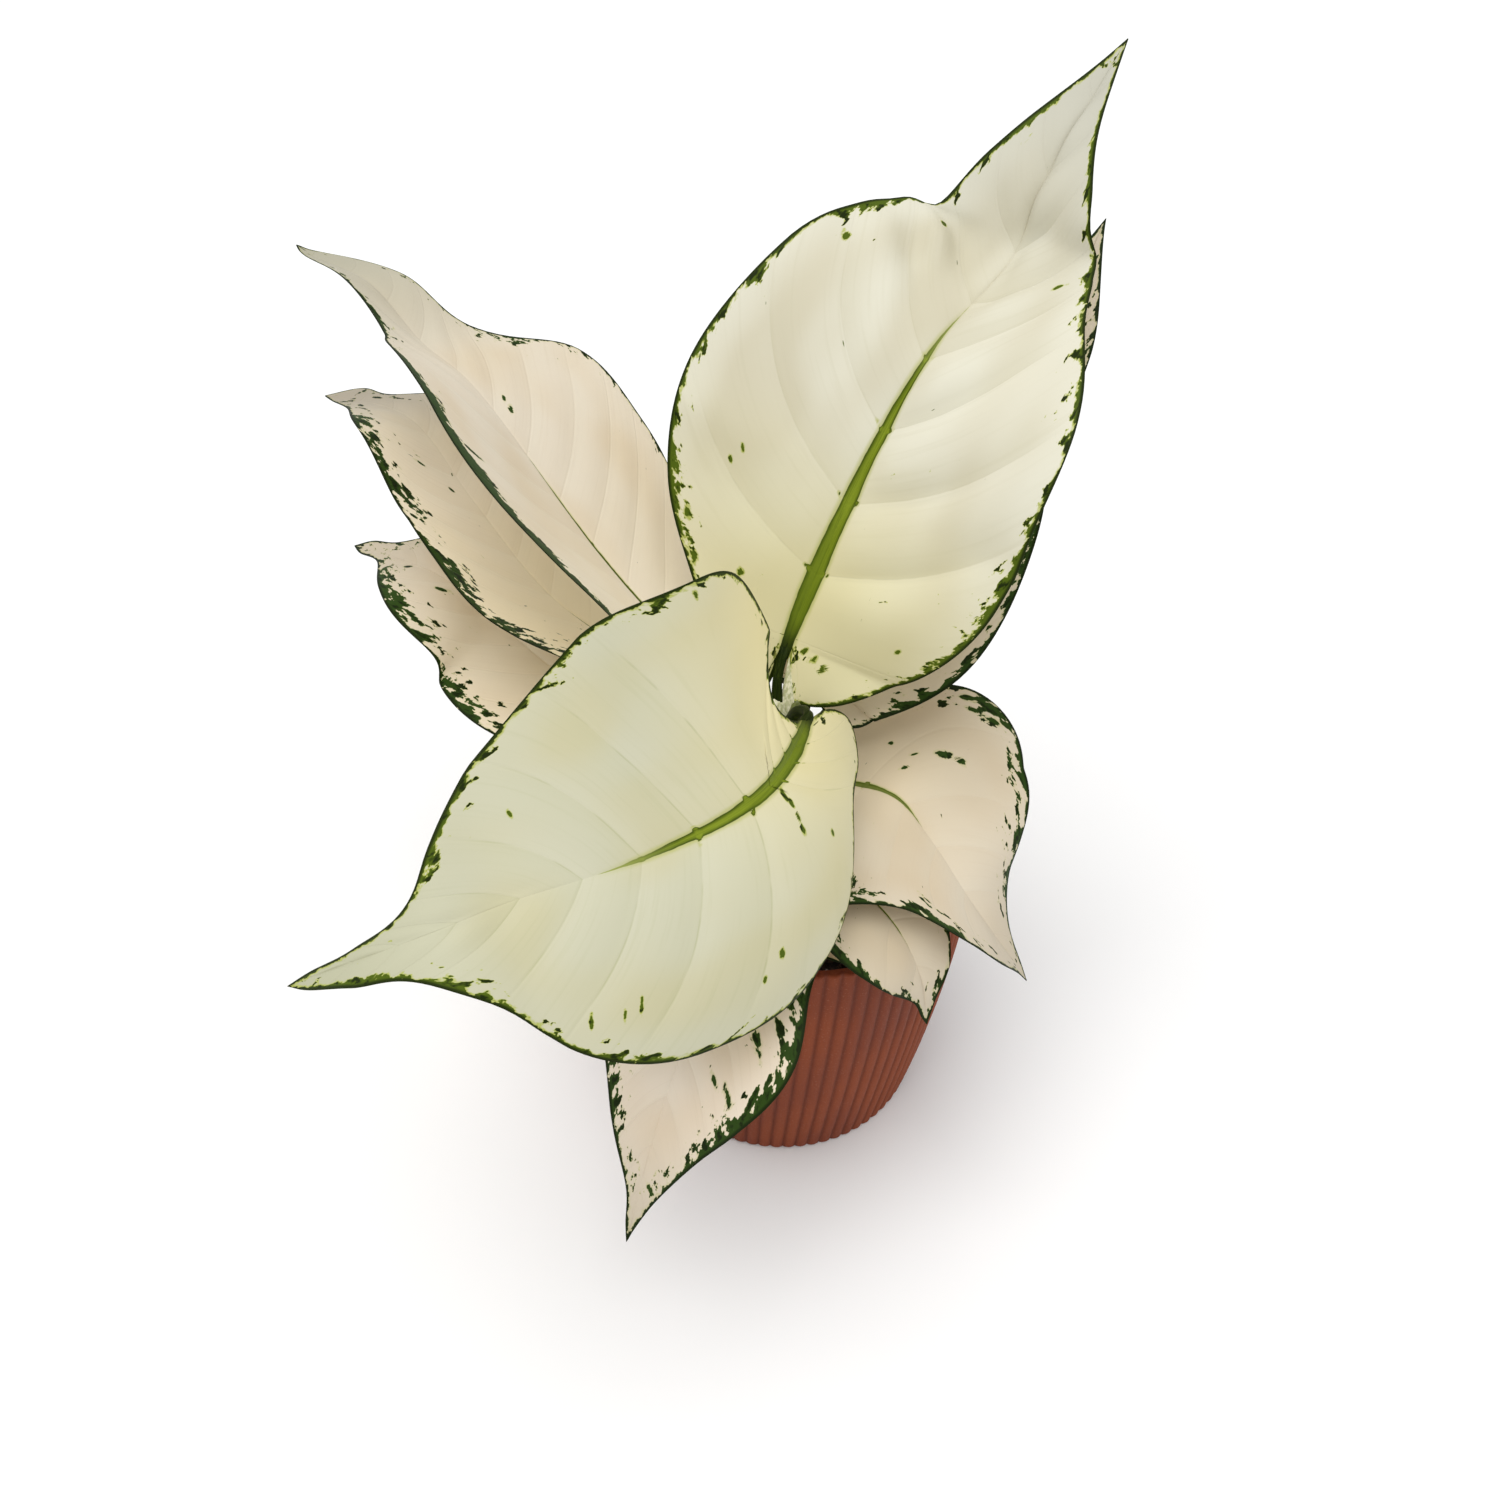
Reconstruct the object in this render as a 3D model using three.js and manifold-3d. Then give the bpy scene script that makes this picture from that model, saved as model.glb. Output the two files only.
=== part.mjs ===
// A potted Chinese evergreen of the white-leaved kind.
//
// One short cane stands in the soil of a fluted pot and carries ten leaves. Each leaf is a
// petiole that clasps the cane, with a thin, heart-based blade that runs out to a drawn-out tip.
//
// Millimetres, +Z up, +Y away from the viewer. The origin is at the centre of the pot's underside.

import * as THREE from "three";
import Module from "manifold-3d";

const wasm = await Module();
wasm.setup();

// The pot: a slightly bellied cup with rounded ribs all round.
const potHeight = 125;
const potRimRadius = 70;
const potFootRadius = 60;
const potWall = 4;
const potFloor = 6;
const footBevel = 2.5;
const ribCount = 72;
const ribDepth = 1.3;
const pointsPerRib = 3;
const potLevels = [footBevel, 41, 83, potHeight];

// The soil fills the pot to a little below the rim, with a low dome round the cane. The dome is
// flat in the middle, and its shoulder is a little lower and this far inside the pot's wall.
const soilTop = 111;
const soilDome = 3;
const domeShoulder = 16;
const domeFlat = 24;
const domeDrop = 1;
const fitGap = 0.35;
const soilSides = 72;

// The cane: centre line, and radius along it from the buried end to the growing tip.
const canePath = [[-8, -2, 84], [-8, -2, 110], [-8, -2, 145], [-7, -3, 180], [-5, -4, 205]];
const caneRadii = [7, 7, 6.2, 4.6, 1.4];
const caneSides = 12;
const caneSteps = 16;

// The leaves. Distances are in millimetres and angles in degrees.
//   petiole  points from the cane's centre line to just before the blade
//   midrib   points along the blade's midrib, from the base to the tip
//   left, right  half-widths at the stations below, seen from above, looking to the tip
//   lobe     how far the heart-shaped base reaches back past the petiole, left and right; a side
//            with a number below zero starts that far ahead of it
//   squareLobes  true where the lobes hang down close by the petiole
//   bank     tilt of the blade about its midrib, right side up, at the base, middle and tip
//   fold     how far both sides rise from the midrib, at the base and the tip
//   curlLeft, curlRight  how much more a side has turned up at its edge, at the base and the tip
//   wave     height, count along the blade and phase of the ripple in both edges
const stations = [0.04, 0.16, 0.3, 0.45, 0.6, 0.74, 0.86, 0.95];
const leaves = [
  {
    name: "leaf_upper_right",
    petiole: [[-8, -2, 168], [-13, 3, 190]],
    midrib: [
      [-11, 13, 210],
      [8, 33, 264],
      [29, 55, 305],
      [55, 89, 324],
      [63, 99, 348],
      [85, 121, 389],
    ],
    left: [39, 61, 70, 64, 49, 28, 15, 5],
    right: [49, 63, 66, 62, 40, 30, 14, 5],
    lobe: [20, 20],
    squareLobes: true,
    bank: [-31, -12, 7],
    fold: [14, 22],
    curlLeft: [0, -3],
    curlRight: [-6, -1],
    wave: [0.8, 3, 40],
  },
  {
    name: "leaf_front_left",
    petiole: [[-8, -2, 177], [-6, -11, 198]],
    midrib: [
      [-3, -30, 211],
      [-17, -78, 221],
      [-49, -104, 217],
      [-86, -125, 216],
      [-109, -137, 212],
      [-154, -131, 177],
    ],
    left: [32, 56, 67, 63, 45, 14, 8, 4],
    right: [39, 67, 73, 66, 43, 12, 4, 2],
    lobe: [34, -22],
    bank: [45, 41, 20],
    fold: [10, 3],
    curlLeft: [-60, -9],
    curlRight: [38, -13],
    wave: [0.5, 2, 0],
  },
  {
    name: "leaf_upper_left",
    petiole: [[-8, -2, 158], [-18, -3, 178]],
    midrib: [
      [-28, -2, 191],
      [-76, 19, 233],
      [-123, 49, 278],
      [-147, 66, 288],
      [-168, 83, 300],
      [-193, 98, 302],
      [-199, 102, 304],
    ],
    left: [32, 49, 57, 56, 43, 18, 14, 5],
    right: [28, 45, 56, 60, 57, 24, 18, 11],
    lobe: [8, 8],
    bank: [-24, -24, -20],
    fold: [13, 6],
    curlLeft: [-4, 11],
    curlRight: [11, 22],
    wave: [1.2, 2.5, 90],
  },
  {
    name: "leaf_left",
    petiole: [[-8, -2, 146], [-24, -1, 166]],
    midrib: [[-51, 11, 188], [-98, 33, 206], [-131, 57, 230], [-158, 79, 250], [-198, 105, 242]],
    left: [35, 44, 51, 41, 35, 27, 11, 4],
    right: [33, 46, 49, 43, 35, 29, 12, 12],
    lobe: [8, 8],
    bank: [-24, -16, -5],
    fold: [7, 7],
    curlLeft: [1, -3],
    curlRight: [-8, -3],
    wave: [1.2, 3, 0],
  },
  {
    name: "leaf_lower_left",
    petiole: [[-8, -2, 136], [-24, 3, 152]],
    midrib: [[-41, 18, 162], [-84, 21, 173], [-120, 43, 183], [-147, 54, 198], [-190, 90, 183]],
    left: [31, 39, 42, 40, 32, 19, 5, 3],
    right: [31, 39, 43, 40, 32, 20, 8, 5],
    lobe: [8, 8],
    bank: [-5, 6, 15],
    fold: [10, 11],
    curlLeft: [-11, -14],
    curlRight: [-10, -8],
    wave: [1.5, 3, 180],
  },
  {
    name: "leaf_back_right",
    petiole: [[-8, -2, 152], [-3, 9, 172]],
    midrib: [[2, 23, 187], [29, 43, 205], [49, 79, 249], [79, 114, 285], [98, 153, 317]],
    left: [18, 30, 36, 36, 28, 18, 9, 3],
    right: [29, 35, 38, 36, 27, 18, 9, 3],
    lobe: [10, 10],
    bank: [-18, -5, 7],
    fold: [5, 9],
    curlLeft: [-10, -10],
    curlRight: [-16, -8],
    wave: [1, 3, 60],
  },
  {
    name: "leaf_right",
    petiole: [[-8, -2, 139], [-1, 1, 147]],
    midrib: [[8, 7, 149], [32, -9, 160], [47, -21, 151], [64, -38, 136], [87, -54, 114]],
    left: [34, 49, 58, 52, 38, 25, 12, 5],
    right: [16, 32, 47, 60, 37, 26, 18, 6],
    lobe: [8, 8],
    bank: [-20, 8, 33],
    fold: [15, 10],
    curlLeft: [0, -6],
    curlRight: [-12, -5],
    wave: [1, 2, 0],
  },
  {
    name: "leaf_rim_right",
    petiole: [[-8, -2, 126], [1, -15, 139]],
    midrib: [[7, -31, 150], [21, -47, 150], [35, -58, 142], [45, -66, 127], [50, -73, 108]],
    left: [12, 18, 24, 28, 24, 16, 6, 2],
    right: [17, 26, 31, 31, 24, 15, 5, 2],
    lobe: [7, 7],
    bank: [12, 5, 0],
    fold: [8, 8],
    curlLeft: [-10, -10],
    curlRight: [-11, -12],
    wave: [0.8, 2, 90],
  },
  {
    name: "leaf_front",
    petiole: [[-8, -2, 132], [-15, -20, 148]],
    midrib: [[-17, -44, 159], [-26, -78, 156], [-34, -105, 138], [-43, -123, 104], [-51, -141, 61]],
    left: [27, 35, 35, 38, 28, 16, 7, 2],
    right: [27, 35, 37, 34, 24, 14, 5, 2],
    lobe: [9, 9],
    bank: [1, 1, 1],
    fold: [9, 9],
    curlLeft: [-10, -10],
    curlRight: [-9, -8],
    wave: [1, 2.5, 0],
  },
  {
    name: "leaf_rim_small",
    petiole: [[-8, -2, 120], [-4, -18, 129]],
    midrib: [[2, -36, 132], [14, -54, 132], [27, -61, 130], [37, -64, 129]],
    left: [8, 12, 14, 13, 10, 7, 3, 1],
    right: [8, 12, 14, 13, 10, 7, 3, 1],
    lobe: [4, 4],
    bank: [0, 0, 0],
    fold: [6, 6],
    curlLeft: [-10, -10],
    curlRight: [-10, -10],
    wave: [0, 1, 0],
  },
];

// How every leaf is built. The petiole narrows from its foot to its neck over the taper, a share
// of its length, and goes on under the blade as a rib that is sunk by a share of its radius. The
// rows of the blade's grid start behind their station by the sweep and then bend forward. The
// ripple of the left edge is ahead of that of the right by the lag, in radians. Where a side of
// the base is cut back instead of lobed, the first rows lead that cut by so many times its depth
// and bend back to the edge behind it.
const bladeThickness = 0.8;
const petioleFootRadius = 3.2;
const petioleNeckRadius = 2.2;
const petioleTaper = 2 / 3;
const ribEndRadius = 0.5;
const ribReach = 0.72;
const ribSink = 0.85;
const petioleSides = 8;
const veinSweep = 0.16;
const veinBend = 1.4;
const lobeRowPitch = 0.005;
const notchLead = 2;
const rippleLag = 1.3;
const probe = 0.5;
const spineSteps = 16;

// One side of the heart-shaped base, from the notch at the petiole outwards: shares of how far
// the lobe reaches back, and of the first half-width. A square lobe drops at once.
const heartLobe = [[0, 0], [0.7, 0.2], [1, 0.52], [0.55, 0.84]];
const squareLobe = [[0, 0], [0.85, 0.13], [1, 0.24], [0.62, 0.58]];

// Where across a half blade, from the midrib to the edge, and where round its outline the
// corners of its facets lie. The outline is counted in spans between its control points.
const acrossSteps = [0, 0.4, 0.75, 1];
const outlineSteps = [0.4, 1.2, 2.2, 3.1, 4, 4.8, 5.6, 6.4, 7.2, 8, 8.8, 9.6, 10.4, 11.2, 11.9];
const petioleSteps = [0, 0.2, 0.4, 0.6, 0.8, 0.93];
const ribSteps = [0.02, 0.12, 0.25, 0.4, 0.56, ribReach];

const colours = {
  blade: 0xe9e1cd,
  pot: 0xa4604e,
  soil: 0x2d231d,
  cane: 0x56702f,
};

const radians = THREE.MathUtils.degToRad;

// A smooth curve through a list of points.
function through(points) {
  const vectors = points.map((point) => new THREE.Vector3(...point));
  return new THREE.CatmullRomCurve3(vectors, false, "catmullrom", 0.5);
}

// A value along the blade, t from 0 at the base to 1 at the tip, from two or three given ones.
function along(values, t) {
  if (values.length === 2) {
    return values[0] + (values[1] - values[0]) * t;
  }
  const atBase = values[0] * (1 - t) * (1 - 2 * t);
  const atMiddle = 4 * values[1] * t * (1 - t);
  const atTip = values[2] * t * (2 * t - 1);
  return atBase + atMiddle + atTip;
}

// The leaf's centre line as closely spaced points, each with its distance from the blade's base
// and its direction. Distances along the petiole are negative.
function makeSpine(leaf) {
  const curve = through([...leaf.petiole, ...leaf.midrib]);
  const spans = leaf.petiole.length + leaf.midrib.length - 1;
  const points = curve.getPoints(spans * spineSteps);
  const distances = [0];
  for (let i = 1; i < points.length; i += 1) {
    distances.push(distances[i - 1] + points[i].distanceTo(points[i - 1]));
  }
  const atBase = distances[leaf.petiole.length * spineSteps];
  const tangents = points.map((point, i) => {
    const before = points[Math.max(i - 1, 0)];
    const after = points[Math.min(i + 1, points.length - 1)];
    return after.clone().sub(before).normalize();
  });
  const arc = distances.map((distance) => distance - atBase);
  return { points, tangents, arc, length: arc[arc.length - 1] };
}

// Position and direction at a distance along the spine.
function spineAt(spine, distance) {
  const { arc } = spine;
  const wanted = THREE.MathUtils.clamp(distance, arc[0], arc[arc.length - 1]);
  let i = 1;
  while (i < arc.length - 1 && arc[i] < wanted) {
    i += 1;
  }
  const t = (wanted - arc[i - 1]) / (arc[i] - arc[i - 1]);
  return {
    position: spine.points[i - 1].clone().lerp(spine.points[i], t),
    tangent: spine.tangents[i - 1].clone().lerp(spine.tangents[i], t).normalize(),
  };
}

// The blade's frame at a distance along it: where the midrib is, which way is to the right and
// which way is up. Behind the base the frame runs straight back, to carry the lobes.
function bladeFrame(leaf, spine, distance) {
  const held = THREE.MathUtils.clamp(distance, 0, spine.length);
  const { position, tangent } = spineAt(spine, held);
  position.addScaledVector(tangent, distance - held);
  const level = tangent.clone().cross(new THREE.Vector3(0, 0, 1)).normalize();
  const up = level.clone().cross(tangent);
  const bank = radians(along(leaf.bank, held / spine.length));
  const right = level.clone().multiplyScalar(Math.cos(bank)).addScaledVector(up, Math.sin(bank));
  const normal = up.clone().multiplyScalar(Math.cos(bank)).addScaledVector(level, -Math.sin(bank));
  return { position, right, normal };
}

// A point of the blade from its place in the flattened leaf: distance along the midrib, and
// distance to the right of it (to the left if negative). The section across is an arc that
// starts at the fold angle and turns on by the curl angle over the leaf's half-width.
function bladePoint(leaf, spine, alongMidrib, across) {
  const frame = bladeFrame(leaf, spine, alongMidrib);
  const t = THREE.MathUtils.clamp(alongMidrib / spine.length, 0, 1);
  const isRight = across >= 0;
  const halfWidth = Math.max(...(isRight ? leaf.right : leaf.left));
  const fold = radians(along(leaf.fold, t));
  const curl = radians(along(isRight ? leaf.curlRight : leaf.curlLeft, t));
  const turn = (Math.abs(curl) < 0.001 ? 0.001 : curl) / halfWidth;
  const reach = Math.abs(across);
  const outward = (Math.sin(fold + turn * reach) - Math.sin(fold)) / turn;
  const rise = (Math.cos(fold) - Math.cos(fold + turn * reach)) / turn;
  const [height, count, phase] = leaf.wave;
  const ripple = Math.sin(2 * Math.PI * count * t + radians(phase) + (isRight ? 0 : rippleLag));
  const lift = rise + height * ripple * (reach / halfWidth) ** 2;
  return frame.position
    .addScaledVector(frame.right, isRight ? outward : -outward)
    .addScaledVector(frame.normal, lift);
}

// One side of the flat outline, from the notch at the petiole round the lobe to the tip.
function outlineCurve(spine, widths, lobe, lobeShape) {
  const points = lobeShape.map(([back, out]) => [-back * lobe, out * widths[0], 0]);
  stations.forEach((station, i) => points.push([station * spine.length, widths[i], 0]));
  points.push([spine.length, 0, 0]);
  return through(points);
}

// A closed solid from shared corners and triangles.
function solidFrom(corners, triangles) {
  const vertProperties = new Float32Array(corners.flatMap((corner) => [corner.x, corner.y, corner.z]));
  const triVerts = new Uint32Array(triangles.flat());
  return new wasm.Manifold(new wasm.Mesh({ numProp: 3, vertProperties, triVerts }));
}

// The blade: a grid of rows that run like side veins, from the midrib out to the edge and
// forward, with an upper and a lower face split alike and a thin wall round the edge.
function bladeSolid(leaf, spine) {
  const leftSteps = acrossSteps.slice(1).reverse().map((step) => -step);
  const columns = [...leftSteps, ...acrossSteps];
  const lobeShape = leaf.squareLobes ? squareLobe : heartLobe;
  const outlines = {
    left: outlineCurve(spine, leaf.left, leaf.lobe[0], lobeShape),
    right: outlineCurve(spine, leaf.right, leaf.lobe[1], lobeShape),
  };
  const lobeSpans = heartLobe.length;
  const spans = stations.length + lobeSpans;
  const lead = Math.max(0, -notchLead * Math.min(...leaf.lobe));
  const flatPoint = (row, column) => {
    const outline = column < 0 ? outlines.left : outlines.right;
    const edge = outline.getPoint(row / spans);
    const station = THREE.MathUtils.clamp(edge.x / spine.length, 0, 1);
    const sweptBack = station - veinSweep * Math.sin(Math.PI * station);
    const onLobe = (lobeRowPitch * spine.length + lead / lobeSpans) * row;
    const onBlade = sweptBack * spine.length + lead * ((spans - row) / stations.length) ** 2;
    const start = row < lobeSpans ? onLobe : onBlade;
    const step = Math.abs(column);
    return [start + (edge.x - start) * step ** veinBend, Math.sign(column) * edge.y * step];
  };
  const upper = [];
  const lower = [];
  for (const row of outlineSteps) {
    for (const column of columns) {
      const [a, b] = flatPoint(row, column);
      const middle = bladePoint(leaf, spine, a, b);
      const ahead = bladePoint(leaf, spine, a + probe, b).sub(bladePoint(leaf, spine, a - probe, b));
      const aside = bladePoint(leaf, spine, a, b + probe).sub(bladePoint(leaf, spine, a, b - probe));
      const normal = aside.cross(ahead).normalize();
      upper.push(middle.clone().addScaledVector(normal, bladeThickness / 2));
      lower.push(middle.clone().addScaledVector(normal, -bladeThickness / 2));
    }
  }
  const rowCount = outlineSteps.length;
  const columnCount = columns.length;
  const shift = upper.length;
  const index = (row, column) => row * columnCount + column;
  const triangles = [];
  for (let row = 0; row < rowCount - 1; row += 1) {
    for (let column = 0; column < columnCount - 1; column += 1) {
      const a = index(row, column);
      const b = index(row, column + 1);
      const c = index(row + 1, column + 1);
      const d = index(row + 1, column);
      triangles.push([a, b, c], [a, c, d]);
      triangles.push([a + shift, c + shift, b + shift], [a + shift, d + shift, c + shift]);
    }
  }
  const rim = [];
  for (let column = 0; column < columnCount - 1; column += 1) {
    rim.push(index(0, column));
  }
  for (let row = 0; row < rowCount - 1; row += 1) {
    rim.push(index(row, columnCount - 1));
  }
  for (let column = columnCount - 1; column > 0; column -= 1) {
    rim.push(index(rowCount - 1, column));
  }
  for (let row = rowCount - 1; row > 0; row -= 1) {
    rim.push(index(row, 0));
  }
  rim.forEach((a, i) => {
    const b = rim[(i + 1) % rim.length];
    triangles.push([a, a + shift, b + shift], [a, b + shift, b]);
  });
  return solidFrom([...upper, ...lower], triangles);
}

// A closed tube through rings of equal count, with flat ends.
function tubeSolid(rings) {
  const sides = rings[0].length;
  const corners = rings.flat();
  const triangles = [];
  for (let ring = 0; ring < rings.length - 1; ring += 1) {
    for (let side = 0; side < sides; side += 1) {
      const next = (side + 1) % sides;
      const a = ring * sides + side;
      const b = ring * sides + next;
      const c = b + sides;
      const d = a + sides;
      triangles.push([a, b, c], [a, c, d]);
    }
  }
  const last = (rings.length - 1) * sides;
  for (let side = 1; side < sides - 1; side += 1) {
    triangles.push([0, side + 1, side], [last, last + side, last + side + 1]);
  }
  return solidFrom(corners, triangles);
}

// A ring of corners round a centre, counted from the x direction towards the y direction.
function ring(centre, xDirection, yDirection, radius, sides) {
  return Array.from({ length: sides }, (unused, side) => {
    const angle = ((side + 0.5) / sides) * 2 * Math.PI;
    return centre
      .clone()
      .addScaledVector(xDirection, radius * Math.cos(angle))
      .addScaledVector(yDirection, radius * Math.sin(angle));
  });
}

// The petiole, and the rib that it becomes under the blade. Its frame is carried back from the
// blade's base without turning, so that the tube doesn't twist.
function petioleSolid(leaf, spine) {
  const start = spine.arc[0];
  const base = bladeFrame(leaf, spine, 0);
  const rings = [];
  let right = base.right.clone();
  for (const step of [...petioleSteps].reverse()) {
    const { position, tangent } = spineAt(spine, start * (1 - step));
    right = right.addScaledVector(tangent, -right.dot(tangent)).normalize();
    const up = right.clone().cross(tangent);
    const narrowed = Math.min(step / petioleTaper, 1);
    const radius = petioleFootRadius + (petioleNeckRadius - petioleFootRadius) * narrowed;
    rings.unshift(ring(position, right.clone(), up, radius, petioleSides).reverse());
  }
  for (const step of ribSteps) {
    const frame = bladeFrame(leaf, spine, step * spine.length);
    const radius = ribEndRadius + (petioleNeckRadius - ribEndRadius) * (1 - step / ribReach);
    const sunk = frame.position.addScaledVector(frame.normal, -ribSink * radius);
    rings.push(ring(sunk, frame.right, frame.normal, radius, petioleSides).reverse());
  }
  return tubeSolid(rings);
}

// The cane, or the same shape grown by a gap to seat the petioles and the soil round it.
function caneSolid(growth) {
  const path = through(canePath);
  const radii = through(caneRadii.map((radius) => [radius, 0, 0]));
  const xAxis = new THREE.Vector3(1, 0, 0);
  const yAxis = new THREE.Vector3(0, 1, 0);
  const rings = [];
  for (let step = 0; step <= caneSteps; step += 1) {
    const t = step / caneSteps;
    rings.push(ring(path.getPoint(t), xAxis, yAxis, radii.getPoint(t).x + growth, caneSides));
  }
  rings[0].forEach((corner) => corner.setZ(corner.z - growth));
  rings[caneSteps].forEach((corner) => corner.setZ(corner.z + growth));
  return tubeSolid(rings);
}

// A ribbed cup: the outside is ribbed all the way up, the inside is smooth.
function potSolid() {
  const sides = ribCount * pointsPerRib;
  const wallRadius = (height) => {
    const down = 1 - height / potHeight;
    return potRimRadius - (potRimRadius - potFootRadius) * down ** 2;
  };
  const level = (height, radius, depth) => {
    const corners = [];
    for (let side = 0; side < sides; side += 1) {
      const angle = (side / sides) * 2 * Math.PI;
      const reach = radius - (side % pointsPerRib === 0 ? depth : 0);
      corners.push(new THREE.Vector3(reach * Math.cos(angle), reach * Math.sin(angle), height));
    }
    return corners;
  };
  const rings = [
    level(0, potFootRadius - footBevel, 0),
    ...potLevels.map((height) => level(height, wallRadius(height), ribDepth)),
    level(potHeight, potRimRadius - potWall, 0),
    level(potFloor, potFootRadius - potWall, 0),
  ];
  return tubeSolid(rings);
}

// The soil: it fills the cup from floor to dome and leaves a hole for the cane.
function soilSolid() {
  const xAxis = new THREE.Vector3(1, 0, 0);
  const yAxis = new THREE.Vector3(0, 1, 0);
  const cupRadius = (height) => {
    const t = (height - potFloor) / (potHeight - potFloor);
    return potFootRadius - potWall + (potRimRadius - potFootRadius) * t - fitGap;
  };
  const level = (height, radius) => {
    return ring(new THREE.Vector3(0, 0, height), xAxis, yAxis, radius, soilSides);
  };
  const rings = [
    level(potFloor + fitGap, cupRadius(potFloor + fitGap)),
    level(soilTop - soilDome, cupRadius(soilTop - soilDome)),
    level(soilTop - domeDrop, cupRadius(soilTop) - domeShoulder),
    level(soilTop, domeFlat),
  ];
  return tubeSolid(rings).subtract(caneSolid(fitGap));
}

// A named mesh from a solid.
function meshFrom(solid, name, colour, roughness) {
  const made = solid.getMesh();
  const geometry = new THREE.BufferGeometry();
  geometry.setAttribute("position", new THREE.BufferAttribute(made.vertProperties, 3));
  geometry.setIndex(new THREE.BufferAttribute(made.triVerts, 1));
  const material = new THREE.MeshStandardMaterial({ color: colour, roughness, metalness: 0 });
  const mesh = new THREE.Mesh(geometry, material);
  mesh.name = name;
  return mesh;
}

const plant = new THREE.Group();
plant.add(meshFrom(potSolid(), "pot", colours.pot, 0.75));
plant.add(meshFrom(soilSolid(), "soil", colours.soil, 0.95));
plant.add(meshFrom(caneSolid(0), "cane", colours.cane, 0.55));
const seat = caneSolid(fitGap);
for (const leaf of leaves) {
  const spine = makeSpine(leaf);
  const solid = bladeSolid(leaf, spine).add(petioleSolid(leaf, spine)).subtract(seat);
  plant.add(meshFrom(solid, leaf.name, colours.blade, 0.45));
}

export default plant;
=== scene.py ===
# %% [markdown]
# # A potted Chinese evergreen with white leaves
#
# The plant is one short green cane in a fluted clay pot. Ten leaves grow from the cane, each on
# its own stalk. The blades are cream white, with a thin dark green edge, green flecks that follow
# the side veins, and a green midrib that fades towards the tip.
#
# The solids already give every leaf its place and its bend. This lesson dresses them: it rebuilds
# each piece from the same few numbers as a much finer surface, and gives it a finish.

import bpy
import numpy as np
from mathutils import Matrix


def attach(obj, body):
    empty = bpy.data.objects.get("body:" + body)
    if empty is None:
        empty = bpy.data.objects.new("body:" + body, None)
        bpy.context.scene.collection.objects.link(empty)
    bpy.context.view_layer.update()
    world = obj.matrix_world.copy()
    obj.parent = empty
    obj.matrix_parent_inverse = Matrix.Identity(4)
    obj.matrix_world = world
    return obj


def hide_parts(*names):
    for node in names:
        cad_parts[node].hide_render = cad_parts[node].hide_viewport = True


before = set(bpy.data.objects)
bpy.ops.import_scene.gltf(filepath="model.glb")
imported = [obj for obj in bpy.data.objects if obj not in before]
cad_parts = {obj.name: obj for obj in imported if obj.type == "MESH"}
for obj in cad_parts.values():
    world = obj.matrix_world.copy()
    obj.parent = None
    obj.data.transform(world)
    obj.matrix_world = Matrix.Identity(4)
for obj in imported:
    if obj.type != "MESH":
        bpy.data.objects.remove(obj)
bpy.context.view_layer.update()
print("solids:", sorted(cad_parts))

# %% [markdown]
# The plant's measures are easiest to think of in millimetres, and Blender works in metres. So all
# shapes below are worked out in millimetres, and one helper turns them into a mesh in metres.

# %% Millimetres into metres, and arrays into a mesh
millimetre = 0.001


def mesh_piece(name, points, faces, solid):
    """A piece from its corners in millimetres and its faces as lists of corner numbers.

    It rides on the one body of the model and stands for the named solid."""
    mesh = bpy.data.meshes.new(name)
    mesh.from_pydata((np.asarray(points) * millimetre).tolist(), [], faces)
    mesh.polygons.foreach_set("use_smooth", np.ones(len(mesh.polygons), bool))
    mesh.update()
    piece = bpy.data.objects.new(name, mesh)
    bpy.context.scene.collection.objects.link(piece)
    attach(piece, "root")
    if solid:
        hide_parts(solid)
    print(f"{name}: {len(mesh.polygons)} faces")
    return piece


# %% [markdown]
# Two patterns of faces come back again and again. A sheet is a grid of corners, one face between
# each four neighbours. A tube is such a grid rolled up, with its two ends drawn into one corner
# each, so that no hole stays open. Blender could lay such grids too, but here the order of the
# corners has to be known, because values are given to them later.

# %% Faces of a sheet and of a tube


def sheet_faces(rows, columns, first=0):
    """Faces between the corners of a grid, counted row by row from the corner number first."""
    corner = first + np.arange(rows * columns).reshape(rows, columns)
    near_left, near_right = corner[:-1, :-1], corner[:-1, 1:]
    far_left, far_right = corner[1:, :-1], corner[1:, 1:]
    return np.stack([near_left, near_right, far_right, far_left], -1).reshape(-1, 4)


def tube_faces(rings, sides, first=0):
    """Faces of a tube of rings, then a start pole and an end pole, which are the last two corners."""
    corner = first + np.arange(rings * sides).reshape(rings, sides)
    onward = np.roll(corner, -1, axis=1)
    walls = np.stack([corner[:-1], onward[:-1], onward[1:], corner[1:]], -1).reshape(-1, 4)
    start_pole = np.full(sides, first + rings * sides)
    start = np.stack([onward[0], corner[0], start_pole], -1)
    end = np.stack([corner[-1], onward[-1], start_pole + 1], -1)
    return walls.tolist() + start.tolist() + end.tolist()


def tube_points(rings):
    """Corners of a tube from an array of rings: all rings, then the middles of the first and last."""
    flat = rings.reshape(-1, 3)
    return np.vstack([flat, rings[0].mean(0), rings[-1].mean(0)])


# %% [markdown]
# Grown things are bent smoothly, so their paths are curves through a few points. Bezier curves
# could carry them, but need handles. The curve used here passes through every point, and its
# direction at a point is that from the point before to the point after.

# %% A smooth curve through points


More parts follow.
